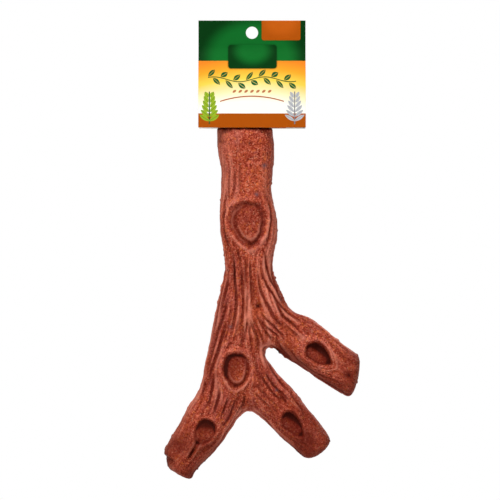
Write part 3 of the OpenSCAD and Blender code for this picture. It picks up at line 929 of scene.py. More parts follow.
# Grooves traced on the front: depth, half width, and x and z of each point
GROOVES = (
    (1.5, 1.25, -12.7, -74.8, -12.3, -82.5, -12, -91, -11.7, -98.8, -10.7, -106.6, -10.4, -112.5, -11.1, -119.6, -12.3,
     -128.1, -14, -136.5, -15, -142.3),
    (0.34, 1.3, -11.4, -26, -11.4, -35.1, -11.7, -41.6, -13, -46.8),
    (1, 1.1, -7.2, -83.9, -6.8, -92.3, -6.5, -99.5, -5.9, -106.6, -5.5, -113.8, -5.9, -119.6, -6.8, -126.1, -8.8,
     -132.6, -10.4, -138.5),
    (0.5, 0.9, -3.2, -81.9, -3.6, -89.7, -3.6, -98.2, -2.9, -106),
    (1, 1, -1, -84.5, -1, -93.6, -0.7, -101.4, -0.1, -107.2, 0, -112.5, -0.7, -118.3),
    (1.5, 1.3, -14.3, -104, -15.9, -109.2, -17.2, -113.8, -18.3, -118.3, -19.8, -123.5, -21.8, -130, -24.2, -137.2,
     -26.3, -144.3, -27.9, -150.8, -29.4, -158, -30.6, -164.5),
    (1.4, 1.25, -15.6, -119.6, -16.6, -124.8, -17.9, -130, -19.5, -135.8, -21.6, -142.3, -23.9, -148.2, -26, -154.7,
     -27.6, -161.2, -29.6, -168.3, -31.5, -174.2),
    (1, 1, -24.7, -157.3, -25.4, -164.5, -26.2, -170.3, -27.3, -176.2, -29.1, -180.1, -31.5, -184),
    (1.2, 1.15, -21.6, -167.7, -21.4, -172.9, -22.4, -177.5, -23.7, -182, -25.2, -187.2),
    (1.1, 1, -15.4, -174.8, -16.4, -178.1, -18, -182.7, -19.5, -187.2),
    (0.9, 1.1, -10.4, -174.8, -11.2, -179.4, -12.6, -183.3, -14.3, -187.8, -16.4, -191.1, -18.5, -195),
    (1.3, 1.1, -5.1, -173.6, -5.5, -178.1, -6.4, -182.7),
    (1.35, 1.2, 3.2, -89.7, 4.2, -96.9, 5.2, -104, 7, -108.5, 9.1, -113.1, 11.7, -117.7, 13.7, -121.5, 15.6, -124.8,
     17.9, -127.4, 21.1, -130, 24.1, -133.2, 26.3, -136.5),
    (1, 1.05, 5.5, -87.1, 6.5, -93, 8.1, -98.2, 10.1, -102.7, 12.3, -106, 14.6, -109.2, 16.9, -113.1, 19.5, -116.4,
     22.8, -119.6, 26.7, -122.5, 31.2, -124.8, 36.4, -128.1),
    (1.2, 1.15, 14.3, -111.8, 16.6, -115.4, 19, -119.6, 21.1, -122.9, 23.7, -125.1, 26.7, -127.4, 29.6, -130.3, 32.5,
     -132.6),
    (0.9, 1, 7.8, -77.4, 8.5, -83.2, 9.2, -89, 10.6, -94.2, 12.7, -99.5, 15, -104, 17.9, -108.5, 20.8, -113.1, 24.1,
     -117, 28.6, -120.2),
    (0.9, 0.95, 5.5, -122.9, 7, -126.8, 9.4, -129.7, 12.7, -132, 15.6, -134.2, 18.2, -137.2),
    (0.8, 0.95, 2.3, -118.3, 4.9, -124.8, 7.5, -130, 9.8, -133.9, 12.3, -136.8, 15.3, -139.1),
    (0.8, 0.9, 0, -122.2, 2.9, -128.7, 5.2, -133.9, 6.8, -137.8, 8.1, -141.1),
    (0.8, 0.9, -1.3, -123.5, 0.7, -129.3, 2.9, -135.2, 4.1, -140.4, 4.9, -145.6),
    (0.8, 0.95, -2.9, -123.5, -3.4, -130, -4.4, -135.2, -4.5, -139.8),
    (0.6, 0.9, 21.1, -127.1, 24.1, -130.3, 27.3, -133.2, 31.2, -136.2),
    (0.55, 0.95, -13.7, -111.8, -14, -119.6, -15.3, -128.1, -16.9, -135.2, -18.5, -141.7),
    (1, 1, 4.5, -156, 6.8, -161.8, 9.8, -166.7, 13, -171, 16.2, -174.2, 19.2, -176.8, 22.4, -179.4),
    (0.9, 0.95, 7.5, -155.3, 10.4, -161.2, 13.7, -165.8, 16.9, -169.3, 20.2, -172.9, 23.1, -176.2, 26, -179.1),
    (0.85, 0.95, 9.4, -148.8, 11.7, -153.7, 14.3, -158.6, 17.6, -163.2, 20.8, -167.4, 24.7, -172.2),
    (0.65, 0.9, 2.6, -165.1, 5.2, -169.7, 8.5, -172.9, 11.7, -176.2, 15, -179.4, 17.6, -183.3),
    (0.55, 0.9, 0.7, -170.3, 3.6, -174.2, 7.2, -177.5, 10.4, -180.7, 13, -184.6),
    (0.5, 0.9, 0, -145.6, 2.6, -150.8, 3.6, -156, 3.9, -161.2),
    (2.6, 0.95, -32, -200, -34.5, -203.8, -35.9, -206.1, -37.7, -209, -39.9, -212.9, -41.8, -216.4),
    (0.6, 0.95, 34.5, -158, 39.6, -160.9, 45.5, -163.8, 51.4, -167.1, 55.9, -169.7),
    (0.8, 0.9, -18, -95.5, -19, -101.4, -20.5, -107.9, -21.7, -115, -23.1, -122.9, -25.2, -131.3, -27, -138.5),
    (0.8, 0.9, -15.6, -92.3, -16.1, -98.8, -17.6, -105.3, -19.1, -111.8, -20.4, -119, -21.9, -125.5),
    (0.7, 0.9, -10.1, -77.4, -8.9, -81.9, -7.5, -86.5, -7, -91),
    (0.55, 0.9, -2.9, -106, -3.1, -113.8, -3.6, -122.2),
    (0.75, 0.85, 0.9, -98.2, 0.8, -105.3, 1.2, -113.8, 1.7, -119.6),
    (0.8, 0.85, 12.1, -87.1, 12.9, -93.6, 14.5, -99.5, 16.9, -105.6, 20.2, -111.5, 23.7, -116, 28.3, -119.6, 33.8,
     -122.5, 40.3, -126.1),
    (0.9, 0.95, 4.4, -117, 6.5, -120.6, 9.5, -124.5, 12.7, -127.7, 16.6, -131.3, 20.2, -134.9, 22.8, -138.5),
    (0.65, 0.9, -9.1, -123.5, -9.6, -128.7, -10.7, -134.6, -12.3, -140.4),
    (0.7, 0.9, -5.5, -126.1, -5.7, -132, -6.3, -137.8, -7.3, -143),
    (0.5, 0.85, -1.6, -126.1, -1.3, -132.6, -0.3, -139.1, 1, -144.3),
    (0.6, 0.85, -16.4, -40.3, -17.4, -47.5, -18.2, -55.2, -18.4, -63.1, -17.6, -70.2, -15.9, -76.7, -15, -83.2),
    (0.7, 0.8, -12.3, -49.7, -14.1, -53.3, -15, -57.9, -15, -62.4, -14.2, -67),
    (0.6, 0.85, 9.1, -44.2, 11.2, -50.1, 12.3, -55.9, 12.3, -62.4, 11.4, -68.2, 10, -74.1, 9.1, -79.3),
    (0.3, 1.1, -14.6, -24.6, -15, -33.1, -15.1, -41.6, -15.6, -47),
    (0.22, 1.2, -8.1, -20.1, -7.9, -30.5, -8.2, -41.3),
    (0.9, 1, -30.6, -164.5, -31.5, -169, -33.1, -174.2),
    (0.8, 0.9, -31.9, -184, -32.8, -186.9, -34.5, -189.8),
    (1.2, 1.1, 18.5, -173.6, 20.8, -176.5, 22.8, -178.8),
    (0.6, 0.85, 24.7, -172.2, 28.6, -177.5, 31.9, -182, 35.1, -187.2),
    (0.6, 0.85, 2, -166.4, 4.5, -169, 8.5, -172.9, 12.3, -176.2),
    (0.8, 0.95, -16.9, -144, -14.6, -140.9, -12.3, -138.5),
)


class Skin(NamedTuple):
    """Points of the branch's mesh in millimetres: on the form, at full size, and the way out from each."""

    raw: Array
    full: Array
    outward: Array


@dataclass
class Branch:
    """The pressed branch: three limbs with bark, grooves and knots, moulded round the bolt."""

    voxel: float = 0.72
    clear: float = 0.05  # room between the butt and the card that turns on it
    pulls: int = 6  # times that the points are pulled onto the form
    evened: int = 3  # pulls after which their spacing is evened out
    smoothed: int = 20  # rounds that smooth the rounded crotches
    form: BranchForm = field(init=False)
    trunk: Limb = Limb(
        (
            (-4.7, 0, 17.9, 15.2, 0, 0.15), (-4.1, -14.4, 18.1, 15.2, 0, 0.25), (-3.4, -28.5, 16.5, 14.3, 0, 0.35),
            (-3.8, -42.9, 16.2, 14, 0, 0.3), (-2.7, -57, 17.9, 14.9, 0, 0.5), (-1.9, -70.2, 17.8, 14.9, 0, 0.6),
            (-2.2, -83.2, 15.8, 14, 0, 0.9), (-2.9, -96.2, 15, 14, -4, 1), (-5, -110.6, 15.9, 14.3, -8, 1),
            (-7.6, -124.7, 16.1, 14.6, -10, 1), (-10, -139.1, 16.6, 14.6, -10, 0.9),
            (-12.3, -153.4, 17.2, 14.6, -12, 0.9), (-15.7, -166.4, 16.3, 14.6, -17, 1),
            (-21.2, -178.8, 15.4, 14.3, -25, 1), (-28.3, -189.7, 15.2, 14, -31, 0.7),
            (-33.5, -198.8, 14.7, 14, -32, 0.6), (-40.3, -207.7, 13.5, 13.7, -32, 0.6),
            (-46, -216.4, 11.8, 13.2, -32, 0.5), (-47.8, -224.1, 10, 12.3, -32, 0.4),
        ),
        start_edge=1.3,
        end_edge=2.2,
        dome=1.6,
    )
    right: Limb = Limb(
        (
            (0, -84.4, 10.6, 9.5, 2, 0.6), (4.2, -98.7, 10.6, 12.2, 14, 1), (7.7, -113.1, 12.7, 14, 30, 1),
            (16.5, -127, 12.7, 14, 46, 1), (29.1, -136.1, 15, 13.8, 54, 0.9), (40.9, -144.6, 14.3, 13.2, 54, 0.6),
            (54, -154.4, 13.6, 13, 57, 0.6), (67.1, -162.8, 13.1, 12.5, 70, 0.4),
        ),
        dome=2.2,
        slant=0.12,
    )
    lower: Limb = Limb(
        (
            (-7.7, -141.4, 10.2, 11.2, 4, 0.8), (-3.3, -154.6, 13.9, 13.5, 14, 1), (4.3, -167.3, 14.5, 13.8, 32, 1),
            (15.1, -177.9, 13.8, 13.5, 42, 0.9), (24.9, -189.2, 12.9, 13, 42, 0.6),
            (33.5, -198.8, 11.8, 12.5, 41, 0.5), (43.7, -210.5, 10.3, 12, 36, 0.4),
        ),
        dome=2.8,
    )
    fork: Limb = Limb(
        (
            (-1.3, -91.2, 6.6, 11.1, 2, 0.8), (1.5, -104.9, 9.5, 13.8, 6, 1), (4.4, -120.8, 12.1, 14.3, 16, 1),
            (7.6, -133.4, 10.6, 13, 22, 1), (9.5, -140.9, 7.4, 9.5, 26, 0.8),
        )
    )
    leg_fork: Limb = Limb(
        (
            (-8.9, -150.5, 7.3, 11.2, -4, 0.8), (-6.4, -163, 10.2, 13.8, 0, 1), (-3.6, -173.3, 11.2, 13.3, 5, 1),
            (-1.7, -181.9, 8.8, 10.2, 6, 0.8),
        )
    )
    arch: Web = Web(-0.7, -191.7, 8.1, 7.8, 10.2, (25, 150))
    notch: Web = Web(11.3, -144.9, 2.7, 6.6, 8.0, (62, 213))
    knots: tuple[Knot, ...] = (
        Knot(KnotKind.RINGED, -2.3, -63.0, 12.7, 15.3, 7, 2.2, 0.85, 0.5, -50),
        Knot(KnotKind.RINGED, -10.2, -157.4, 9.2, 12.0, 0, 2.0, 1.1, 2.8, -50, taper=0.2),
        Knot(KnotKind.HOLLOW, 43.4, -147.0, 6.9, 10.0, 51, 3.2, 0.8, 3.4, 35, rims=2),
        Knot(KnotKind.HOLLOW, -30.9, -197.6, 6.8, 9.4, -32, 1.8, 0.5, 1.6, 5),
        Knot(KnotKind.HOLLOW, 26.6, -192.7, 6.2, 9.8, 39, 2.4, 0.6, 2.8, 35, rims=2),
    )
    grooves: tuple[Groove, ...] = tuple(Groove.of(*row) for row in GROOVES)
    # Pits: x, z, radius and depth
    pits: tuple[tuple[float, float, float, float], ...] = (
        (3.9, -115.7, 1.7, 1.3), (-1.3, -10.4, 0.9, 1.2), (-5, -10.6, 1.6, 0.4), (3.3, -167.8, 1, 1),
        (62.8, -160.6, 2.4, 1.2), (-18, -193, 0.9, 0.9), (-20, -9, 2, 0.5),
    )
    # Grey flecks in the mass: x, z and radius
    flecks: tuple[tuple[float, float, float], ...] = (
        (7.8, -24.7, 1.5), (2.9, -43.2, 1.3), (-14, -129, 0.9), (16, -170, 1),
    )
    # Patch of painted light in the middle of the fork and painted shadow under the right branch: x, z and how far they
    # reach in x and in z
    wear_and_light: tuple[float, float, float, float] = (3.0, -118.0, 15.0, 24.0)
    crotch_shadow: tuple[float, float, float, float] = (16.5, -145.2, 4.2, 3.6)
    # Grooves of the back: share of the flow, the heights they run between and depth
    back_grooves: tuple[tuple[float, float, float, float], ...] = (
        (0.03, -20, -200, 1), (0.075, -84, -196, 1.3), (0.13, -38, -150, 1.1), (0.2, -92, -205, 1.2),
        (0.265, -14, -120, 0.9), (0.31, -118, -200, 1.1), (0.36, -70, -182, 1.2), (0.42, -100, -196, 1.3),
        (0.475, -22, -140, 0.9), (0.53, -86, -200, 1.2), (0.6, -60, -186, 1.1), (0.655, -128, -200, 1),
        (0.72, -88, -150, 1.2), (0.775, -30, -142, 1), (0.83, -84, -160, 1.3), (0.885, -74, -152, 1.1),
        (0.93, -16, -136, 1), (0.975, -90, -166, 1.1),
    )

    def build(self) -> Object:
        """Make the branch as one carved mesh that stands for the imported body."""
        limbs = (self.trunk, self.right, self.lower, self.fork, self.leg_fork)
        self.form = BranchForm(limbs, (self.arch, self.notch), self.knots)
        obj = loft("branch", [part.rings() for part in (*self.form.limbs, *self.form.webs)])
        voxel_remesh(obj, self.voxel)
        p = self._settle(obj, coords(obj))
        outward = self.form.outward(p)
        low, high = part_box("perch_body")
        stretch = [(high.x - low.x) / MM / np.ptp(p[:, 0]), 1.0, (high.z - low.z) / MM / np.ptp(p[:, 2])]
        full = p * stretch
        full += outward * self._relief(obj, Skin(p, full, outward))[:, None]
        full[:, 2] = np.minimum(full[:, 2], high.z / MM - self.clear)
        set_coords(obj, full)
        return obj

    def _settle(self, obj: Object, p: Array) -> Array:
        """Move the remeshed points onto the smooth form, and even out their spacing."""
        for pull in range(self.pulls):
            p = p - self.form.outward(p) * self.form.distance(p)[:, None]
            if pull < self.evened:
                p = 0.5 * p + 0.5 * neighbours_mean(obj, p)
        near = np.max([web.near(p[:, 0], p[:, 2]) for web in self.form.webs], axis=0)
        for _ in range(self.smoothed):
            p = p + 0.7 * near[:, None] * (neighbours_mean(obj, p) - p)
        return p

    def _relief(self, obj: Object, skin: Skin) -> Array:
        """Height of the bark, grooves, knots and crumbs over the smooth form.

        Args:
            obj: the piece, which also gets the masks that its material reads.
            skin: its points.

        Returns:
            One height in millimetres for each point.
        """
        raw, p, outward = skin
        form, (x, _, z) = self.form, p.T
        front, back = (smoothstep(side * outward[:, 1], 0.02, 0.3) for side in (-1, 1))
        gx, gz = x + 0.35 * noise(p / 5.5, 3), z + 0.35 * noise(p / 5.5, 4)

        uneven = layered(p / 4.0, 9)
        knots, bare, shade, painted_sheen = self._knots(gx, gz, uneven, front)
        vary = 0.85 + 0.3 * noise(p / (3.0, 3.0, 9.0), 21)
        cut, rise, traced, core, reach = self._front_grooves(gx, gz, vary, front)
        for row in self.back_grooves:
            cut = np.maximum(cut, self._back_groove(skin, *row) * back)
        kept = 1.0 - 0.9 * bare * (knots < 0.2)
        cut *= kept

        bark = form.at(form.bark, raw)
        streaks, lines = self._streaks(skin)
        streaks *= bark * (1 - bare)
        cut = np.maximum(cut, lines * bark * (1 - bare) * (1 - 0.6 * traced))
        lumps = 0.28 * layered(p / 13.0, 5) + 0.1 * noise(p / 4.2, 8)
        crumbs = 0.085 * noise(p, 31) + 0.045 * noise(p / 2.0, 32)
        pits, fleck = np.zeros((2, len(p)))
        for px, pz, radius, depth in self.pits:
            pits = np.maximum(pits, depth * bell(np.hypot(x - px, z - pz) / radius * (1 + 0.25 * uneven)) * front)
        for fx, fz, radius in self.flecks:
            away = np.hypot(x - fx, z - fz) / radius
            fleck = np.maximum(fleck, front * np.exp(-(away**2) * (1 + 0.5 * uneven)))
        edges, shelf = self._edges(skin)

        # Painted light: a lighter patch in the middle of the fork, with weaker painted shade in its grooves; the groove
        # shade also weakens low down.
        wear_and_light = patch(x, z, self.wear_and_light) * front
        low = smoothstep(-z, 96.0, 124.0)
        # Painted shade in the grooves, in the furrows between the ribs, in the knots and in the pits.
        deep = (0.82 - 0.3 * wear_and_light - 0.2 * low) * np.clip(cut / 1.5, 0, 1) ** 1.5
        dark = np.maximum(deep + np.clip(-0.5 * streaks, 0, 0.3), np.maximum(shade, pits / 1.2))
        # Painted shadow of the card along the top of the butt.
        rim = 0.9 * smoothstep(z + 0.8 * noise(p / 2.4, 63), -1.9, -0.7)
        # Painted shadow under the right branch by the crotch.
        crotch_shadow = smoothstep(-outward[:, 2], 0.2, 0.6) * patch(x, z, self.crotch_shadow)
        # Painted highlight on the ribs, beside the grooves, on the knots' lips, on edges that face sideways, on the
        # ridge under the limbs, in the middle of the fork and at the upper trunk's left.
        painted_highlight = 0.25 + 1.1 * streaks + 0.9 * rise + 0.55 * np.maximum(knots, 0) + painted_sheen - 0.4 * cut
        painted_highlight += 0.4 * (1 - np.abs(outward[:, 1])) * (1 - bare) + np.maximum(shelf, 0) + 0.36 * wear_and_light
        painted_highlight += 0.2 * smoothstep(-x, 3.0, 9.0) * smoothstep(z, -66.0, -34.0) * front
        # The painted shade along the grooves' middles is uneven, and weaker in the fork's middle and low down.
        reach *= 1.0 - 0.25 * np.abs(noise(p / (5.0, 5.0, 12.0), 23))
        reach *= 1.0 - 0.26 * wear_and_light - 0.16 * low
        facing = 0.25 + 0.75 * smoothstep(np.abs(outward[:, 1]), 0.1, 0.5)

        # Painted shade along the middle of each traced groove, through core and reach.
        set_mask(obj, "core", core - 0.02 * np.abs(noise(p / (4.0, 4.0, 7.0), 22)))
        set_mask(obj, "reach", reach * front * kept)
        # Painted highlights.
        set_mask(obj, "painted_highlight", painted_highlight)
        set_values(obj, "across", form.at(form.turn, raw) + 0.35 * noise(p / 8.0, 47))
        set_values(obj, "spread", form.at(form.spread, raw))
        set_mask(obj, "bark", np.clip(bark * 1.1, 0, 1) * (1 - bare) * facing)
        # Painted shade where the light falls off.
        set_mask(obj, "falloff_shade", self._falloff_shade(skin, front))
        # Painted shade in the recesses, painted shadow of the card and under the right branch, and a painted dark line
        # under the ridge of the undersides.
        set_mask(obj, "hollow", np.max([dark, rim, np.clip(-1.2 * shelf, 0, 0.8), crotch_shadow], axis=0))
        set_mask(obj, "fleck", fleck)
        return lumps + crumbs + streaks + knots - cut + rise * (1 - bare) - pits + edges

    def _knots(self, x: Array, z: Array, uneven: Array, front: Array) -> Array:
        """Relief of all knots.

        Args:
            x: places across the branch in millimetres.
            z: heights in millimetres.
            uneven: small uneven values.
            front: share of each point that faces the front.

        Returns:
            Rows of the height, how bare of bark each point is, and how much painted shade and painted highlight it
            gets.
        """
        total = np.zeros((4, len(x)))
        for knot in self.knots:
            height, bark, dark, pale = knot.height(x, z, uneven)
            total[0] += height * front
            total[1:] = np.maximum(total[1:], np.array([1 - bark, dark, pale]) * front)
        return total

    def _front_grooves(self, x: Array, z: Array, vary: Array, front: Array) -> tuple[Array, ...]:
        """Traced grooves of the front.

        Args:
            x: places across the branch in millimetres.
            z: heights in millimetres.
            vary: factor on their depth at each point.
            front: share of each point that faces the front.

        Returns:
            The depth, the rise beside it, how much groove is near, how near a line is, and how dark that line is.
        """
        cut, rise, traced, core, reach = np.zeros((5, len(x)))
        for groove in self.grooves:
            depth, side, near, ends = groove.cut(x, z)
            traced = np.maximum(traced, near * ends * front)
            reach = np.where(near > core, ends * min(1.0, 0.26 + 0.82 * groove.depth), reach)
            core = np.maximum(core, near)
            cut = np.maximum(cut, 1.5 * depth * vary * front)
            rise = np.maximum(rise, side * front)
        return cut, rise, traced, core, reach

    def _falloff_shade(self, skin: Skin, front: Array) -> Array:
        """How much painted shade the mass gets where the light falls off: most at the limbs' ends and on the right
        branch's underside.
        """
        raw, p, outward = skin
        x, _, z = p.T
        ways = ((0, 11.0), (2, 9.0), (1, -7.0))
        ends = [smoothstep(self.form.at(self.form.maps[k].end, raw) + start, -34.0, 2.0) for k, start in ways]
        falloff_shade = np.max(ends, axis=0) * smoothstep(-z, 100.0, 140.0)
        falloff_shade = np.maximum(falloff_shade, 0.04 * smoothstep(z, -62.0, -40.0)) + 0.05 * smoothstep(-z, 140.0, 165.0)
        under = smoothstep(-outward[:, 2], 0.3, 0.8) * smoothstep(-z, 110.0, 140.0) * front * smoothstep(x, 13.0, 21.0)
        return np.maximum(falloff_shade * (0.8 + 0.5 * layered(p / 12.0, 55)), under)

    def _streaks(self, skin: Skin) -> tuple[Array, Array]:
        """Fine ribs of the bark and the narrow furrows between them, drawn out along the flow."""
        raw, p, outward = skin
        turn, spread = self.form.at(self.form.turn, raw), self.form.at(self.form.spread, raw)
        side = np.where(outward[:, 1] > 0, 40.0, 0.0)
        run = -p[:, 2] + 0.5 * np.maximum(p[:, 0], 0)

        def drawn(across: Array, width: float, length: float) -> Array:
            """Places for a noise that is drawn out along the flow."""
            return np.c_[across / width + side, run / length, p[:, 1] / 60]

        ribs, furrows = np.zeros((2, len(p)))
        for fold in range(3):
            share = np.clip(1.0 - np.abs(spread - fold), 0, 1)
            across = turn * 2.0**fold + 60.0 * fold
            for width, length, strength, seed in ((2.6, 40.0, 0.46, 41), (1.5, 24.0, 0.36, 42), (1.0, 10.0, 0.18, 43)):
                ribs += share * strength * noise(drawn(across + 0.4 * noise(p / 8.0, seed), width, length), seed)
            rows = ((3.6, 80.0, 1.5, 0.2, 44), (2.3, 50.0, 1.1, 0.24, 45), (1.7, 30.0, 0.8, 0.3, 46))
            for width, length, depth, thin, seed in rows:
                value = noise(drawn(across + 0.5 * noise(p / 9.0, seed), width, length), seed)
                some = smoothstep(noise(drawn(across, 7.0, 40.0), seed + 9), -0.5, 0.05)
                line = smoothstep(share, 0.2, 0.6) * depth * some * smoothstep(-np.abs(value), -thin, 0.0)
                furrows = np.maximum(furrows, line)
        return ribs, furrows * (0.3 + 0.7 * smoothstep(np.abs(outward[:, 1]), 0.05, 0.45))

    def _back_groove(self, skin: Skin, share: float, top: float, bottom: float, depth: float) -> Array:
        """Depth of a groove of the back, which follows one share of the flow between two heights."""
        raw, p, outward = skin

        def flow(dx: float, dz: float) -> Array:
            """Flow beside each point."""
            return self.form.at(self.form.flow, raw + (dx, 0, dz))

        slope = np.hypot(flow(1, 0) - flow(-1, 0), flow(0, 1) - flow(0, -1)) / 2
        wander = 0.9 * noise(p / 11.0, int(share * 1000)) + 0.3 * noise(p / 4.0, 77)
        away = np.abs((flow(0, 0) - share) / np.maximum(slope, 0.004) + wander) / np.clip(np.abs(outward[:, 1]), 0.3, 1)
        ends = smoothstep(top - p[:, 2], 0, 12) * smoothstep(p[:, 2] - bottom, 0, 12)
        vary = 0.75 + 0.4 * noise(p / (6.0, 6.0, 14.0), int(share * 500))
        return depth * ends * vary * furrow(away / 1.15)

    def _edges(self, skin: Skin) -> tuple[Array, Array]:
        """Parting line, the ridge along the undersides, the butt's crumbled edge, and the ledge at the left leg's end.

        Args:
            skin: the points of the branch.

        Returns:
            The height of all of them, and that of the ridge alone.
        """
        raw, p, outward = skin
        x, y, z = p.T
        middle, half_w, half_t = self.trunk.rows[0][0], *self.trunk.rows[0][2:4]
        broken = smoothstep(layered(p / 9.0, 51), -0.5, 0.6)
        burrs = smoothstep(noise(p / 1.8, 57), 0.25, 0.7) * smoothstep(noise(p / 16.0, 58), -0.1, 0.3)
        burrs = 0.3 * broken + 0.6 * burrs
        seam = bell(y, 0.9) * burrs * smoothstep(-z, 3, 12)
        under = smoothstep(-outward[:, 2], -0.1, 0.45) * smoothstep(-z, 90, 130)
        shelf = 0.6 * under * smoothstep(layered(p / 14.0, 53), -0.8, 0.0)
        shelf = shelf * (bell(y + 7.4, 0.9) - 0.9 * bell(y + 5.2))
        rim = smoothstep(z, -3.0, -0.2) * smoothstep(np.hypot((x - middle) / half_w, y / half_t), 0.8, 0.98)
        crumble = -0.9 * rim * smoothstep(noise(p / 2.0, 61), -0.2, 0.6)
        past = self.form.at(self.form.maps[0].end, raw)
        aside = -0.79 * outward[:, 0] + 0.61 * outward[:, 2]
        ledge = 1.5 * smoothstep(past, -6.0, -5.2) * smoothstep(aside, 0.0, 0.6)
        return seam + shelf + crumble - ledge, shelf


@dataclass(frozen=True)
class MassFinish:
    """Pressed mass of crushed grain and clay: red-brown granules, orange and dark specks, matt with tiny glints; its
    colour carries painted shade and highlights.
    """

    base: Colour = srgb(190, 84, 61)
    light: Colour = srgb(226, 118, 92)
    pale: Colour = srgb(236, 158, 126)
    dark: Colour = srgb(146, 50, 30)
    # Painted shade in the grooves, knots and other recesses; also the dark specks.
    deep: Colour = srgb(88, 16, 5)
    # Painted highlight on ridges, lips and edges.
    painted_sheen: Colour = srgb(232, 142, 118)
    # Painted shade where the light falls off.
    falloff_shade_tint: Colour = srgb(92, 24, 13)
    grey: Colour = srgb(104, 86, 92)
    mauve: Colour = srgb(186, 98, 88)
    rust: Colour = srgb(204, 92, 52)
    # Painted shade where it is deepest, near black.
    deepest_shade: Colour = srgb(38, 8, 3)
    spice: Colour = srgb(236, 124, 58)

    def material(self, effects: Effects) -> bpy.types.Material:
        """Build the material.

        Args:
            effects: the shared node groups.

        Returns:
            The finished material.
        """
        material, b = new_material("pressed_mass")
        at = b.place()
        coarse = b.group(effects.granules, {"Place": at, "Size mm": 1.3, "Warp": 0.0007})
        fine = b.group(effects.granules, {"Place": at, "Size mm": 0.7, "Warp": 0.0005})
        mottle = b.group(effects.mottle, {"Place": at, "Patch size mm": 16.0, "Grain size mm": 1.5})
        wide = {"Patch size mm": 24.0, "Grain size mm": 4.0, "Stretch": (1.3, 1.3, 0.7)}
        hues = b.group(effects.mottle, {"Place": at, **wide})
        fibre, bark = self._fibres(b), b.mask("bark")
        grain = fibre * bark
        value = coarse["Random"] * 0.4 + fine["Random"] * 0.6
        value = value + (mottle["Grain"] - 0.5) * 0.3 + (mottle["Patches"] - 0.5) * 0.3
        # The crevices between the granules are darker: painted shade.
        value = value + (coarse["Height"] * fine["Height"] - 0.3) * 0.35 + grain * 0.75
        tint = b.colours(value, ((0.24, self.dark), (0.44, self.base), (0.56, self.base), (0.78, self.light)))
        soft = hues["Patches"] * 0.6 + hues["Grain"] * 0.4
        second = fine["Second random"]
        # Painted shade along the grooves' middles, in the recesses and in the furrows between the fibres.
        lines = b.ramp(b.mask("core"), 0.9, 0.975) * b.mask("reach")
        hollow = b.math("MAXIMUM", b.mask("hollow"), lines)
        hollow = b.math("MAXIMUM", hollow, b.ramp(fibre, -0.1, -0.2) * bark * 0.4)
        tint = b.over(
            tint,
            (b.ramp(soft, 0.5, 0.62) * 0.45, self.mauve),
            (b.ramp(soft, 0.49, 0.38) * 0.45, self.rust),
            (b.ramp(second, 0.94, 0.96) * 0.5, self.pale),
            (b.ramp(coarse["Second random"], 0.9, 0.95) * 0.42, self.spice),
            (b.ramp(second, 0.13, 0.11) * 0.65, self.deep),
            # Painted highlight.
            (b.ramp(b.mask("painted_highlight"), 0.28, 0.85) * 0.68, self.painted_sheen),
            # Painted shade where the light falls off.
            (b.mask("falloff_shade") ** 0.7 * 0.82, self.falloff_shade_tint),
            # Painted shade in the recesses, near black where it is deepest.
            (hollow**0.65 * 0.95, self.deep),
            (b.ramp(hollow, 0.8, 1.05) * 0.8, self.deepest_shade),
            (b.mask("fleck") * 0.75, self.grey),
        )
        rough = b.ramp(mottle["Grain"], 0.3, 0.7, 0.7, 0.85) - b.ramp(second, 0.9, 0.94) * 0.35
        relief = coarse["Height"] * 0.5 + fine["Height"] * 0.5 + mottle["Grain"] * 0.6 + grain * 2.4 - lines * 2.2
        b.surface({"Base Color": tint, "Roughness": rough, "Specular IOR Level": 0.07}, (1.0, 0.00033, relief))
        return material

    @staticmethod
    def _fibres(b: Bench) -> Wire:
        """Height of fine lines along the grain, finer than the mesh, as values round zero."""
        x, y, z = b.axes()
        run = x * 500.0 - z * 1000.0
        side = b.math("GREATER_THAN", y, 0.0) * 37.0
        total: Input = 0.0
        for fold in range(3):
            share = b.math("SUBTRACT", 1.0, abs(b.mask("spread") - float(fold)), clamp=True)
            across = b.mask("across") * 2.0**fold
            for width, length, strength in ((1.5, 26.0, 0.65), (0.8, 13.0, 0.35)):
                at = b.add("ShaderNodeCombineXYZ", {0: across / width, 1: run / length, 2: side + (9.0 * fold + width)})
                lines = b.add("ShaderNodeTexNoise", {"Vector": at[0], "Scale": 1.0, "Detail": 1.0})
                total = (lines["Fac"] - 0.5) * strength * share + total
        return total


# ---------------------------------------------------------------- the bolt, washers and wing nut


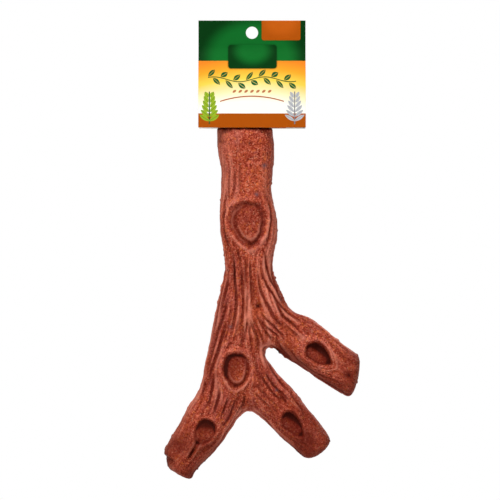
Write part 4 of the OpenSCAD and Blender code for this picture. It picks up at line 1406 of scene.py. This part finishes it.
@dataclass
class Hardware:
    """Bolt with its two washers and wing nut, on the branch's axis. Sizes are in millimetres."""

    bolt_d: float = 6.35
    root_d: float = 5.05
    pitch: float = 1.27
    bolt_out: float = 28.0
    bolt_in: float = 29.0
    head_flats: float = 11.1
    head_t: float = 4.4
    washer_d: float = 25.4
    washer_t: float = 1.3
    hole_d: float = 7.11
    # Rolled and punched edge of a washer
    rolled: float = 0.42
    punched: float = 0.34
    # Thread of the nut's bore: radius of its ridges and their height
    bore: float = 3.245
    ridge: float = 0.42
    # Mesh of the cast nut: its voxels, and how many rounds soften it
    voxel: float = 0.2
    soften: int = 7
    # Angles in degrees from which an edge of the bolt and of a washer is sharp
    crisp: float = 38.0
    crisp_washer: float = 40.0

    def bolt(self) -> Object:
        """Threaded shank with its hexagon head, which is moulded into the branch."""
        sides, rows_a_turn, tip = 40, 10, 0.75
        k = np.arange(sides)
        hexagon = self.head_flats / 2 / np.cos((TURN * k / sides + TURN / 12) % (TURN / 6) - TURN / 12)
        corner = self.head_flats / 2 / math.cos(TURN / 12)
        rings = []
        for z, part in ((-self.head_t, 0.9), (0.7 - self.head_t, 1.0), (-0.35, 1.0), (0.0, 0.985)):
            rings.append(circle(np.minimum(hexagon, corner * part), z - self.bolt_in, sides))
        length = self.bolt_in + self.bolt_out
        steps = int(length / self.pitch * rows_a_turn)
        for z in length * np.arange(steps + 1) / steps - self.bolt_in:
            limit = self.bolt_d / 2 - max(0.0, tip - (self.bolt_out - z)) * 0.95
            crest = np.clip(1.35 - np.abs((z / self.pitch - k / sides) % 1.0 - 0.5) * 3.4, 0.0, 1.0)
            rings.append(circle(np.minimum(limit, (self.root_d + (self.bolt_d - self.root_d) * crest) / 2), z, sides))
        obj = loft("hanger_bolt_threaded", [rings])
        sharpen(obj, self.crisp)
        across = 2 * np.hypot(*coords(obj)[:, :2].T)
        # Painted shade in the thread's roots.
        set_mask(obj, "hollow", (self.bolt_d - across) / (self.bolt_d - self.root_d))
        return obj

    def washer(self, name: str, low: float) -> Object:
        """Punched washer with one rolled edge and one crisp one.

        Args:
            name: name of the piece.
            low: height of its lower face.

        Returns:
            The washer.
        """
        ro, ri, t = self.washer_d / 2, self.hole_d / 2, self.washer_t
        profile = [(ri, 0.12), (ri + 0.1, 0.0), (ri + 2.2, 0.0), (ro - 3.0, 0.0), (ro - 0.12, 0.0), (ro, 0.1)]
        profile.append((ro, t - self.rolled))
        for a in (0.4, 0.8, 1.2, 1.57):
            profile.append((ro - self.rolled * (1 - math.cos(a)), t - self.rolled * (1 - math.sin(a))))
        profile += [(ro - 3.0, t), (ri + 2.2, t)]
        for a in (0.0, 0.45, 0.95, 1.45):
            profile.append((ri + self.punched * (1 - math.sin(a)), t - self.punched * (1 - math.cos(a))))
        obj = revolve(name, [(r, z + low) for r, z in profile])
        sharpen(obj, self.crisp_washer)
        out = np.hypot(*coords(obj)[:, :2].T)
        set_mask(obj, "hollow", np.zeros(len(out)))
        set_mask(obj, "wear", smoothstep(out, ro - 0.5, ro) + smoothstep(-out, -ri - 0.4, -ri))
        return obj

    def wing_nut(self) -> Object:
        """Cast wing nut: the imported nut's form with cast fillets and a threaded bore."""
        obj = in_scene(bpy.data.objects.new("wing_nut_cast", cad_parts["wing_nut"].data.copy()))
        obj.data.materials.clear()
        voxel_remesh(obj, self.voxel)
        start = coords(obj)
        p = start.copy()
        for _ in range(self.soften):
            p = 0.4 * p + 0.6 * neighbours_mean(obj, p)
        bore = np.hypot(start[:, 0], start[:, 1]) < 3.5
        low, high = start[:, 2].min(), start[:, 2].max()
        seat = start[:, 2] < low + 0.12
        p[seat, 2] = np.maximum(p[seat, 2], low)
        turn = np.arctan2(p[:, 1], p[:, 0]) / TURN
        wave = np.abs((p[:, 2] / self.pitch - turn) % 1.0 - 0.5) * 2
        wanted = self.bore + self.ridge * np.clip(1.3 * wave - 0.15, 0, 1)
        p[:, :2] *= np.where(bore, wanted / np.maximum(np.hypot(p[:, 0], p[:, 1]), 1e-6), 1.0)[:, None]
        set_coords(obj, p)
        # Painted shade in the bore.
        set_mask(obj, "hollow", 0.75 * bore)
        set_mask(obj, "wear", smoothstep(p[:, 2], high - 1.6, high - 0.2) + smoothstep(np.abs(p[:, 0]), 10.8, 12.0))
        obj.data.shade_smooth()
        return obj


@dataclass(frozen=True)
class ZincFinish:
    """Bright zinc plate on steel: a pale grey metal with soft cloudy patches, fine scratches, rubbed edges and painted
    shade in the thread's roots and the nut's bore.
    """

    name: str
    rough: float
    scratch: tuple[float, float, float]
    metal: Colour = srgb(196, 198, 200)
    cloud: Colour = srgb(160, 163, 168)
    warm: Colour = srgb(186, 178, 160)
    # Painted shade in the thread's roots and the nut's bore.
    recess_shade: Colour = srgb(70, 66, 62)

    def material(self, effects: Effects) -> bpy.types.Material:
        """Build the material.

        Args:
            effects: the shared node groups.

        Returns:
            The finished material.
        """
        material, b = new_material(self.name)
        at = b.place()
        cloudy = b.group(effects.mottle, {"Place": at, "Patch size mm": 5.0, "Grain size mm": 0.7})
        drawn = {"Patch size mm": 2.5, "Grain size mm": 0.5, "Stretch": self.scratch}
        lines = b.group(effects.mottle, {"Place": at, **drawn})["Grain"]
        tint = b.over(
            self.metal,
            (b.ramp(cloudy["Patches"], 0.35, 0.7), self.cloud),
            (b.ramp(cloudy["Grain"], 0.5, 0.75) * 0.35, self.warm),
            # Painted shade in the thread's roots and the nut's bore.
            (b.mask("hollow") * 0.6, self.recess_shade),
            (b.mask("wear") * 0.4, self.metal),
        )
        rough = b.ramp(lines, 0.3, 0.7, self.rough - 0.07, self.rough + 0.1)
        bump = (0.35, 0.00006, lines * 0.6 + cloudy["Grain"] * 0.5)
        b.surface({"Base Color": tint, "Metallic": 1.0, "Roughness": rough}, bump)
        return material


# ---------------------------------------------------------------- the card


@dataclass
class HeaderCard:
    """Folded card with a printed front and back, glued round the peg hole, and two flaps that the bolt passes."""

    width: float = 69.6
    height: float = 69.9
    board: float = 0.45
    deep: float = 31.4
    lean_z: float = 25.0  # height where the panels begin to lean together
    glue_z: float = 53.0  # height from which they are glued
    gap: float = 0.02  # between the board's middle line and where the panels touch
    bow: float = 0.35  # how far the free parts of the panels bend in and out
    flap_w: float = 44.0
    flap_past: float = 10.0
    bolt_hole: float = 7.15
    peg_hole: float = 7.94
    peg_drop: float = 8.0
    step: float = 1.6  # of the board's mesh
    flap_step: float = 2.0
    crisp: float = 35.0  # angle in degrees from which an edge of the board is sharp

    def middle_line(self) -> Array:
        """Points (y, z) through the middle of the board, from the front's foot over the top fold to the back's."""
        half = self.board / 2
        foot, lean = np.arange(0, self.lean_z, self.step), np.linspace(self.lean_z, self.glue_z, 26)
        z = np.concatenate([foot, lean, np.arange(self.glue_z + 1, self.height - 1.2, 1.2)])
        wave = np.cos(math.pi * np.clip((z - self.lean_z) / (self.glue_z - self.lean_z), 0, 1))
        y = self.deep / 4 * (1 + wave) + half / 2 * (1 - wave) + self.gap
        front = np.c_[-y, z]
        a = np.linspace(0, math.pi, 7)
        r = half + self.gap
        fold = np.c_[-r * np.cos(a), self.height - half - r + r * np.sin(a)]
        return np.concatenate([front, fold, front[::-1] * (-1, 1)])

    def sheet(self, name: str, line: Array, half: float, bow: float, step: float) -> Object:
        """Board of even thickness along a line in the (y, z) plane.

        Args:
            name: name of the piece.
            line: (y, z) points through the middle of the board, in millimetres.
            half: half the board's width.
            bow: how far its free parts bend in and out.
            step: distance between the points across it.

        Returns:
            The board: its printed side has the first material and its other faces the second one.
        """
        along = np.gradient(line, axis=0)
        along /= np.linalg.norm(along, axis=1)[:, None]
        nx, n = int(2 * half / step) + 1, len(line)
        x, (y, z) = np.repeat(np.linspace(-half, half, nx), n), np.tile(line, (nx, 1)).T
        free = smoothstep(self.glue_z - z, 0, 22) * smoothstep(z, -1, 9)
        wave = noise(np.c_[x / 30, z / 34, np.sign(y) * 3.0], 71)
        mid = np.c_[x, y + bow * wave * free, z]
        shift = np.tile(np.c_[np.zeros(n), -along[:, 1], along[:, 0]], (nx, 1)) * self.board / 2
        m = n * nx
        faces, kinds = [], []
        for a in (i * n + k for i in range(nx - 1) for k in range(n - 1)):
            faces += [(a, a + 1, a + n + 1, a + n), (m + a, m + a + n, m + a + n + 1, m + a + 1)]
            kinds += [0, 1]
        edges = [edge for a in range(0, m - n, n) for edge in ((a, n, 1), (a + n - 1, n, -1))]
        edges += [edge for a in range(n - 1) for edge in ((a, 1, -1), (m - n + a, 1, 1))]
        for a, ahead, way in edges:
            faces.append((a, a + ahead, m + a + ahead, m + a)[::way])
            kinds.append(1)
        obj = make_mesh(name, np.concatenate([mid + shift, mid - shift]) * MM, faces)
        obj.data.polygons.foreach_set("material_index", kinds)
        return obj

    def punch(self, obj: Object, hole_d: float, height: float, turn: float) -> None:
        """Cut a round hole through the board.

        Args:
            obj: the board.
            hole_d: diameter of the hole.
            height: height of its middle.
            turn: turn of its axis from Z about X.
        """
        cutter = revolve("cutter", [(0.0001, -3.0), (hole_d / 2, -3.0), (hole_d / 2, 3.0), (0.0001, 3.0)])
        cutter.data.transform(Matrix.Rotation(turn, 4, "X"))
        cutter.data.transform(Matrix.Translation(Vector((0, 0, height)) * MM))
        cutter.data.materials.append(obj.data.materials[1])
        cut = obj.modifiers.new("punch", "BOOLEAN")
        cut.operation, cut.solver, cut.object = "DIFFERENCE", "EXACT", cutter
        cut.material_mode = "TRANSFER"
        bake_modifiers(obj)
        bpy.data.objects.remove(cutter)

    def build(self, printed: bpy.types.Material, board: bpy.types.Material) -> list[Object]:
        """Make the folded card and its two flaps.

        Args:
            printed: material of the printed side.
            board: material of the inside and the cut edges.

        Returns:
            The card's shell and its front and back flap.
        """
        pieces = [self.sheet("card_shell", self.middle_line(), self.width / 2, self.bow, self.step)]
        t, deep = self.board, self.deep / 2
        y = np.r_[np.linspace(deep - t / 2 - 0.05, deep - 1.5, 3), np.linspace(deep - 3, -self.flap_past, 16)]
        for name, line in (
            ("card_flap_front", np.c_[-y, np.full(len(y), t / 2)][::-1]),
            ("card_flap_back", np.c_[y, np.full(len(y), t / 2 + t)]),
        ):
            pieces.append(self.sheet(name, line, self.flap_w / 2, 0.0, self.flap_step))
        peg, bolt = (self.peg_hole, self.height - self.peg_drop, math.pi / 2), (self.bolt_hole, 0.0, 0.0)
        for piece, hole in zip(pieces, (peg, bolt, bolt)):
            piece.data.materials.append(printed)
            piece.data.materials.append(board)
            self.punch(piece, *hole)
            sharpen(piece, self.crisp)
        return pieces


@dataclass(frozen=True)
class BoardFinish:
    """Uncoated inside and cut edges of the card: off-white board with short fibres."""

    paper: Colour = srgb(226, 222, 212)
    shade: Colour = srgb(200, 193, 180)

    def material(self, effects: Effects) -> bpy.types.Material:
        """Build the material.

        Args:
            effects: the shared node groups.

        Returns:
            The finished material.
        """
        material, b = new_material("raw_board")
        drawn = {"Patch size mm": 9.0, "Grain size mm": 0.5, "Stretch": (1.0, 1.0, 0.25)}
        fibres = b.group(effects.mottle, {"Place": b.place(), **drawn})
        coats = (b.ramp(fibres["Grain"], 0.4, 0.75), b.ramp(fibres["Patches"], 0.45, 0.8) * 0.4)
        tint = b.over(self.paper, *((coat, self.shade) for coat in coats))
        b.surface({"Base Color": tint, "Roughness": 0.85}, (0.3, 0.0001, fibres["Grain"]))
        return material


@dataclass(frozen=True)
class PrintFinish:
    """Varnished print of the card: a green field over a warm one with a brown foot, leaves and bare panels.

    Places on the print are in millimetres.
    """

    forest: Colour = srgb(0, 50, 10)
    green: Colour = srgb(11, 101, 35)
    orange: Colour = srgb(232, 128, 34)
    amber: Colour = srgb(238, 160, 40)
    yellow: Colour = srgb(244, 204, 76)
    straw: Colour = (1.0, 0.88, 0.5)
    cream: Colour = srgb(253, 251, 240)
    foot: Colour = srgb(172, 79, 4)
    leaf: Colour = srgb(12, 84, 42)
    bright: Colour = srgb(150, 178, 40)
    pale: Colour = srgb(186, 188, 192)
    stalk: Colour = (0.2, 0.2, 0.22)
    split: float = 43.5
    foot_top: float = 9.1
    line: float = 0.15  # half the soft edge between two fields
    glow_z: float = 45.5  # middle of the green field's glow
    warm_z: float = 17.0  # where the warm field begins to darken upwards
    stem_z: float = 31.2  # middle of the garland
    stem_end: float = 28.4
    leaf_pitch: float = 8.2
    rule_z: float = 20.2
    seed_z: float = 23.4
    seed_pitch: float = 3.8
    sprig_x: float = 27.6
    sprig_pairs: int = 6

    def material(self, effects: Effects) -> bpy.types.Material:
        """Build the material.

        Args:
            effects: the shared node groups.

        Returns:
            The finished material.
        """
        material, b = new_material("card_print")
        x, _, z = b.axes()
        x, z = x * (1 / MM), z * (1 / MM)
        tint = self._fields(b, x, z)
        tint = self._garland(b, effects, x, z, tint)
        tint = self._sprigs(b, effects, x, z, tint)
        tint = self._panels(b, x, z, tint)
        wear_and_light = b.group(effects.mottle, {"Place": b.place(), "Patch size mm": 14.0, "Grain size mm": 0.45})
        edge = b.math("MAXIMUM", b.ramp(abs(x), 34.6, 34.85), b.ramp(z, 69.6, 69.95))
        tint = b.mix(edge * b.ramp(wear_and_light["Grain"], 0.45, 0.6) * 0.35, tint, self.cream)
        rough = b.ramp(wear_and_light["Patches"], 0.3, 0.7, 0.62, 0.72)
        varnish = {"Base Color": tint, "Roughness": rough, "Specular IOR Level": 0.05}
        b.surface(varnish, (0.12, 0.00005, wear_and_light["Grain"]))
        return material

    def _fields(self, b: Bench, x: Wire, z: Wire) -> Wire:
        """Green field, warm field and brown foot."""
        dz = z - self.glow_z
        glow = b.math("SQRT", x * x + dz * dz * 1.48)
        green = b.mix(b.ramp(glow, 35.0, 22.4), self.forest, self.green)
        stops = ((0.0, self.cream), (0.22, self.straw), (0.5, self.yellow), (0.75, self.amber), (1.0, self.orange))
        warm = b.colours((z - self.warm_z + x * x * 0.004) / 29.0, stops)
        tint = b.mix(b.ramp(z, self.split - self.line, self.split + self.line), warm, green)
        return b.mix(b.ramp(z, self.foot_top + self.line, self.foot_top - self.line), tint, self.foot)

    @staticmethod
    def _leaf(b: Bench, effects: Effects, across: Wire, up: Wire, *sizes: float) -> Part:
        """Leaf at a place on the print: its middle across and up, its turn, half its length and half its width."""
        names = ("Middle across", "Middle up", "Turn", "Half length", "Half width")
        return b.group(effects.leaf, {"Across mm": across, "Up mm": up, **dict(zip(names, sizes))})

    def _garland(self, b: Bench, effects: Effects, x: Wire, z: Wire, tint: Wire) -> Wire:
        """Wavy stem with pairs of leaves across the warm field, and a thin rule and a row of seeds under it."""
        off = z - (b.math("SINE", x * 0.19) * 1.6 + self.stem_z)
        ends = b.ramp(abs(x), self.stem_end + 0.25, self.stem_end)
        cell = b.math("WRAP", x, self.leaf_pitch / 2, -self.leaf_pitch / 2)
        for across, up, turn in ((-1.6, 2.7, 0.75), (1.6, -2.7, -0.7)):
            leaf = self._leaf(b, effects, cell, off, across, up, turn, 3.1, 1.5)
            tint = b.mix((leaf["Inside"] - leaf["Midrib"] * 0.55) * ends, tint, self.leaf)
        arc = z - self.rule_z + x * x * 0.0078
        cell = b.math("WRAP", x, self.seed_pitch / 2, -self.seed_pitch / 2)
        seed = self._leaf(b, effects, cell, z, 0.0, self.seed_z, 0.6, 1.5, 0.75)
        return b.over(
            tint,
            (b.ramp(abs(off), 0.42, 0.22) * ends, self.leaf),
            (b.ramp(abs(arc), 0.5, 0.25) * b.ramp(abs(x), 20.9, 20.4), self.foot),
            (seed["Inside"] * b.ramp(abs(x), 13.3, 13.2) * 0.9, self.foot),
        )

    def _sprigs(self, b: Bench, effects: Effects, x: Wire, z: Wire, tint: Wire) -> Wire:
        """Sprig of yellow-green leaves at the lower left and one of pale seeds at the lower right."""
        left, right = (-self.sprig_x, 1.45, self.bright, self.leaf), (self.sprig_x, 1.15, self.pale, self.stalk)
        for foot, width, colour, rib in (left, right):
            stem = b.ramp(abs(x - foot), 0.5, 0.25) * b.ramp(z, 23.5, 23.0) * b.ramp(z, 2.0, 2.4)
            tint = b.mix(stem, tint, rib)
            for k, side in product(range(self.sprig_pairs), (-1.0, 1.0)):
                turn, reach = math.pi / 2 - side * (1.0 - 0.1 * k), 3.9 - 0.33 * k
                leaf = self._leaf(b, effects, x, z, foot + side * (reach * 0.8), 6.2 + 3.0 * k, turn, reach, width)
                tint = b.over(tint, (leaf["Inside"], colour), (leaf["Midrib"] * 0.6, rib))
        return tint

    def _panels(self, b: Bench, x: Wire, z: Wire, tint: Wire) -> Wire:
        """Two bare rounded panels: a dark green one in the middle and a brown tab at the upper right."""
        tab = tuple(min(1.0, c * 1.8 + 0.01) for c in self.foot)
        for mx, mz, hx, hz, radius, colour, bright, share in (
            (0.3, 46.2, 15.8, 7.9, 2.0, self.forest, self.green, 1.0),
            (18.9, 65.0, 12.6, 8.0, 1.4, self.foot, tab, 0.3),
        ):
            dx, dz = x - mx, z - mz
            ax = b.math("MAXIMUM", abs(dx) - (hx - radius), 0.0)
            az = b.math("MAXIMUM", abs(dz) - (hz - radius), 0.0)
            out = b.far(ax, az) - radius
            lit = b.mix(b.ramp(b.far(dx, (dz - 4.3) * 1.26), 15.5, 6.0) * share, colour, bright)
            tint = b.over(tint, (b.ramp(out, 1.3, -0.2) * 0.35, self.forest), (b.ramp(out, 0.12, -0.12), lit))
        return tint


# ---------------------------------------------------------------- the studio


@dataclass
class Studio:
    """Plain pale floor, soft lamps and the camera at the photograph's angle. Sizes are in metres."""

    middle: tuple[float, float, float] = (-0.0013, 0.0, -0.0793)
    view_height: float = 0.325
    camera_away: float = 3.6
    sensor: float = 36.0
    floor_z: float = -0.43
    floor_r: float = 3.2
    key_power: float = 21.0
    front_power: float = 3.0
    back_power: float = 17.0
    ambient: float = 0.24
    fade: tuple[float, float] = (0.7, 1.9)  # where the floor begins and ends to fade

    def camera(self) -> None:
        """Straight front view through a long lens."""
        data = bpy.data.cameras.new("camera")
        data.sensor_width, data.lens = self.sensor, self.sensor * self.camera_away / self.view_height
        data.clip_start, data.clip_end = 0.05, 60.0
        camera = in_scene(bpy.data.objects.new("camera", data))
        camera.location = Vector(self.middle) + Vector((0, -self.camera_away, 0))
        camera.rotation_euler = (math.pi / 2, 0, 0)
        bpy.context.scene.camera = camera

    def lamp(self, name: str, at: tuple[float, float, float], size: float, power: float) -> None:
        """Square soft lamp that points at the middle of the object."""
        data = bpy.data.lights.new(name, "AREA")
        data.shape, data.size, data.energy = "SQUARE", size, power
        lamp = in_scene(bpy.data.objects.new(name, data))
        lamp.location = at
        lamp.rotation_euler = (Vector(self.middle) - Vector(at)).to_track_quat("-Z", "Y").to_euler()

    def lights(self) -> None:
        """Key lamp above the front, a weak one before the object, one behind it, and an even surround."""
        self.lamp("key", (-0.28, -1.0, 1.0), 0.62, self.key_power)
        self.lamp("front", (0.5, -1.8, -0.1), 1.2, self.front_power)
        self.lamp("back", (0.35, 1.5, 0.7), 1.2, self.back_power)
        world = bpy.data.worlds.new("surround")
        bpy.context.scene.world = world
        world.use_nodes = True
        world.node_tree.nodes.clear()
        b = Bench(world.node_tree)
        seen = b.rays("Is Camera Ray", "Is Glossy Ray", "Is Transmission Ray")
        strength = b.ramp(seen, 0.0, 1.0, self.ambient, 1.0)
        sky = b.add("ShaderNodeBackground", {"Color": (1.0, 1.0, 1.0), "Strength": strength})
        b.add("ShaderNodeOutputWorld", {"Surface": sky[0]})

    def floor(self) -> None:
        """Round pale floor well below the hanging perch, which fades into the white surround."""
        verts = circle(self.floor_r, self.floor_z, ROUND)
        floor = make_mesh("floor", verts, [range(ROUND)])
        material, b = new_material("pale_floor")
        x, y, _ = b.axes()
        away = b.ramp(b.far(x, y), *self.fade)
        glow = b.ramp(away, 0.0, 1.0, 0.22, 1.0) * b.rays("Is Camera Ray", "Is Glossy Ray")
        tint = b.mix(away, (0.82, 0.82, 0.82), (0.0, 0.0, 0.0))
        matt = {"Base Color": tint, "Roughness": 0.9, "Specular IOR Level": 0.0}
        b.surface({**matt, "Emission Color": (1.0, 1.0, 1.0), "Emission Strength": glow})
        floor.data.materials.append(material)

    def build(self) -> None:
        """Set up the whole studio."""
        self.camera()
        self.lights()
        self.floor()
        bpy.context.scene.view_settings.view_transform = "Standard"


# ---------------------------------------------------------------- assembly


def attach(
    piece: Object, body: str, material: bpy.types.Material | None = None, stands_for: str | None = None
) -> None:
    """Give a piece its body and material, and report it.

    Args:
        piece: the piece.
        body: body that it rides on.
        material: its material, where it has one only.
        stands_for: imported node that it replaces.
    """
    if material is not None:
        piece.data.materials.clear()
        piece.data.materials.append(material)
    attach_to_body(piece, body)
    if stands_for:
        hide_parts(stands_for)
    LOG.info("%s on %s: %d faces", piece.name, body, len(piece.data.polygons))


def main() -> None:
    """Build the studio and each sub-assembly in order."""
    logging.basicConfig(level=logging.INFO, format="%(name)s: %(message)s")
    Studio().build()
    effects = Effects()

    branch = Branch().build()
    attach(branch, "perch", MassFinish().material(effects), "perch_body")

    hardware = Hardware()
    bolt_zinc = ZincFinish("zinc_thread", 0.34, (1.0, 1.0, 0.2)).material(effects)
    washer_zinc = ZincFinish("zinc_washer", 0.3, (1.0, 0.12, 1.0)).material(effects)
    nut_zinc = ZincFinish("zinc_cast", 0.4, (1.0, 1.0, 1.0)).material(effects)
    attach(hardware.bolt(), "perch", bolt_zinc, "hanger_bolt")
    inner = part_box("inner_washer")[0].z / MM
    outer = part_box("outer_washer")[0].z / MM
    attach(hardware.washer("inner_washer_punched", inner), "perch", washer_zinc, "inner_washer")
    attach(hardware.washer("outer_washer_punched", outer), "sliding_washer", washer_zinc, "outer_washer")
    attach(hardware.wing_nut(), "nut", nut_zinc, "wing_nut")

    shell, *flaps = HeaderCard().build(PrintFinish().material(effects), BoardFinish().material(effects))
    attach(shell, "card", None, "header_card")
    for flap in flaps:
        attach(flap, "card")


if __name__ == "__main__":
    main()
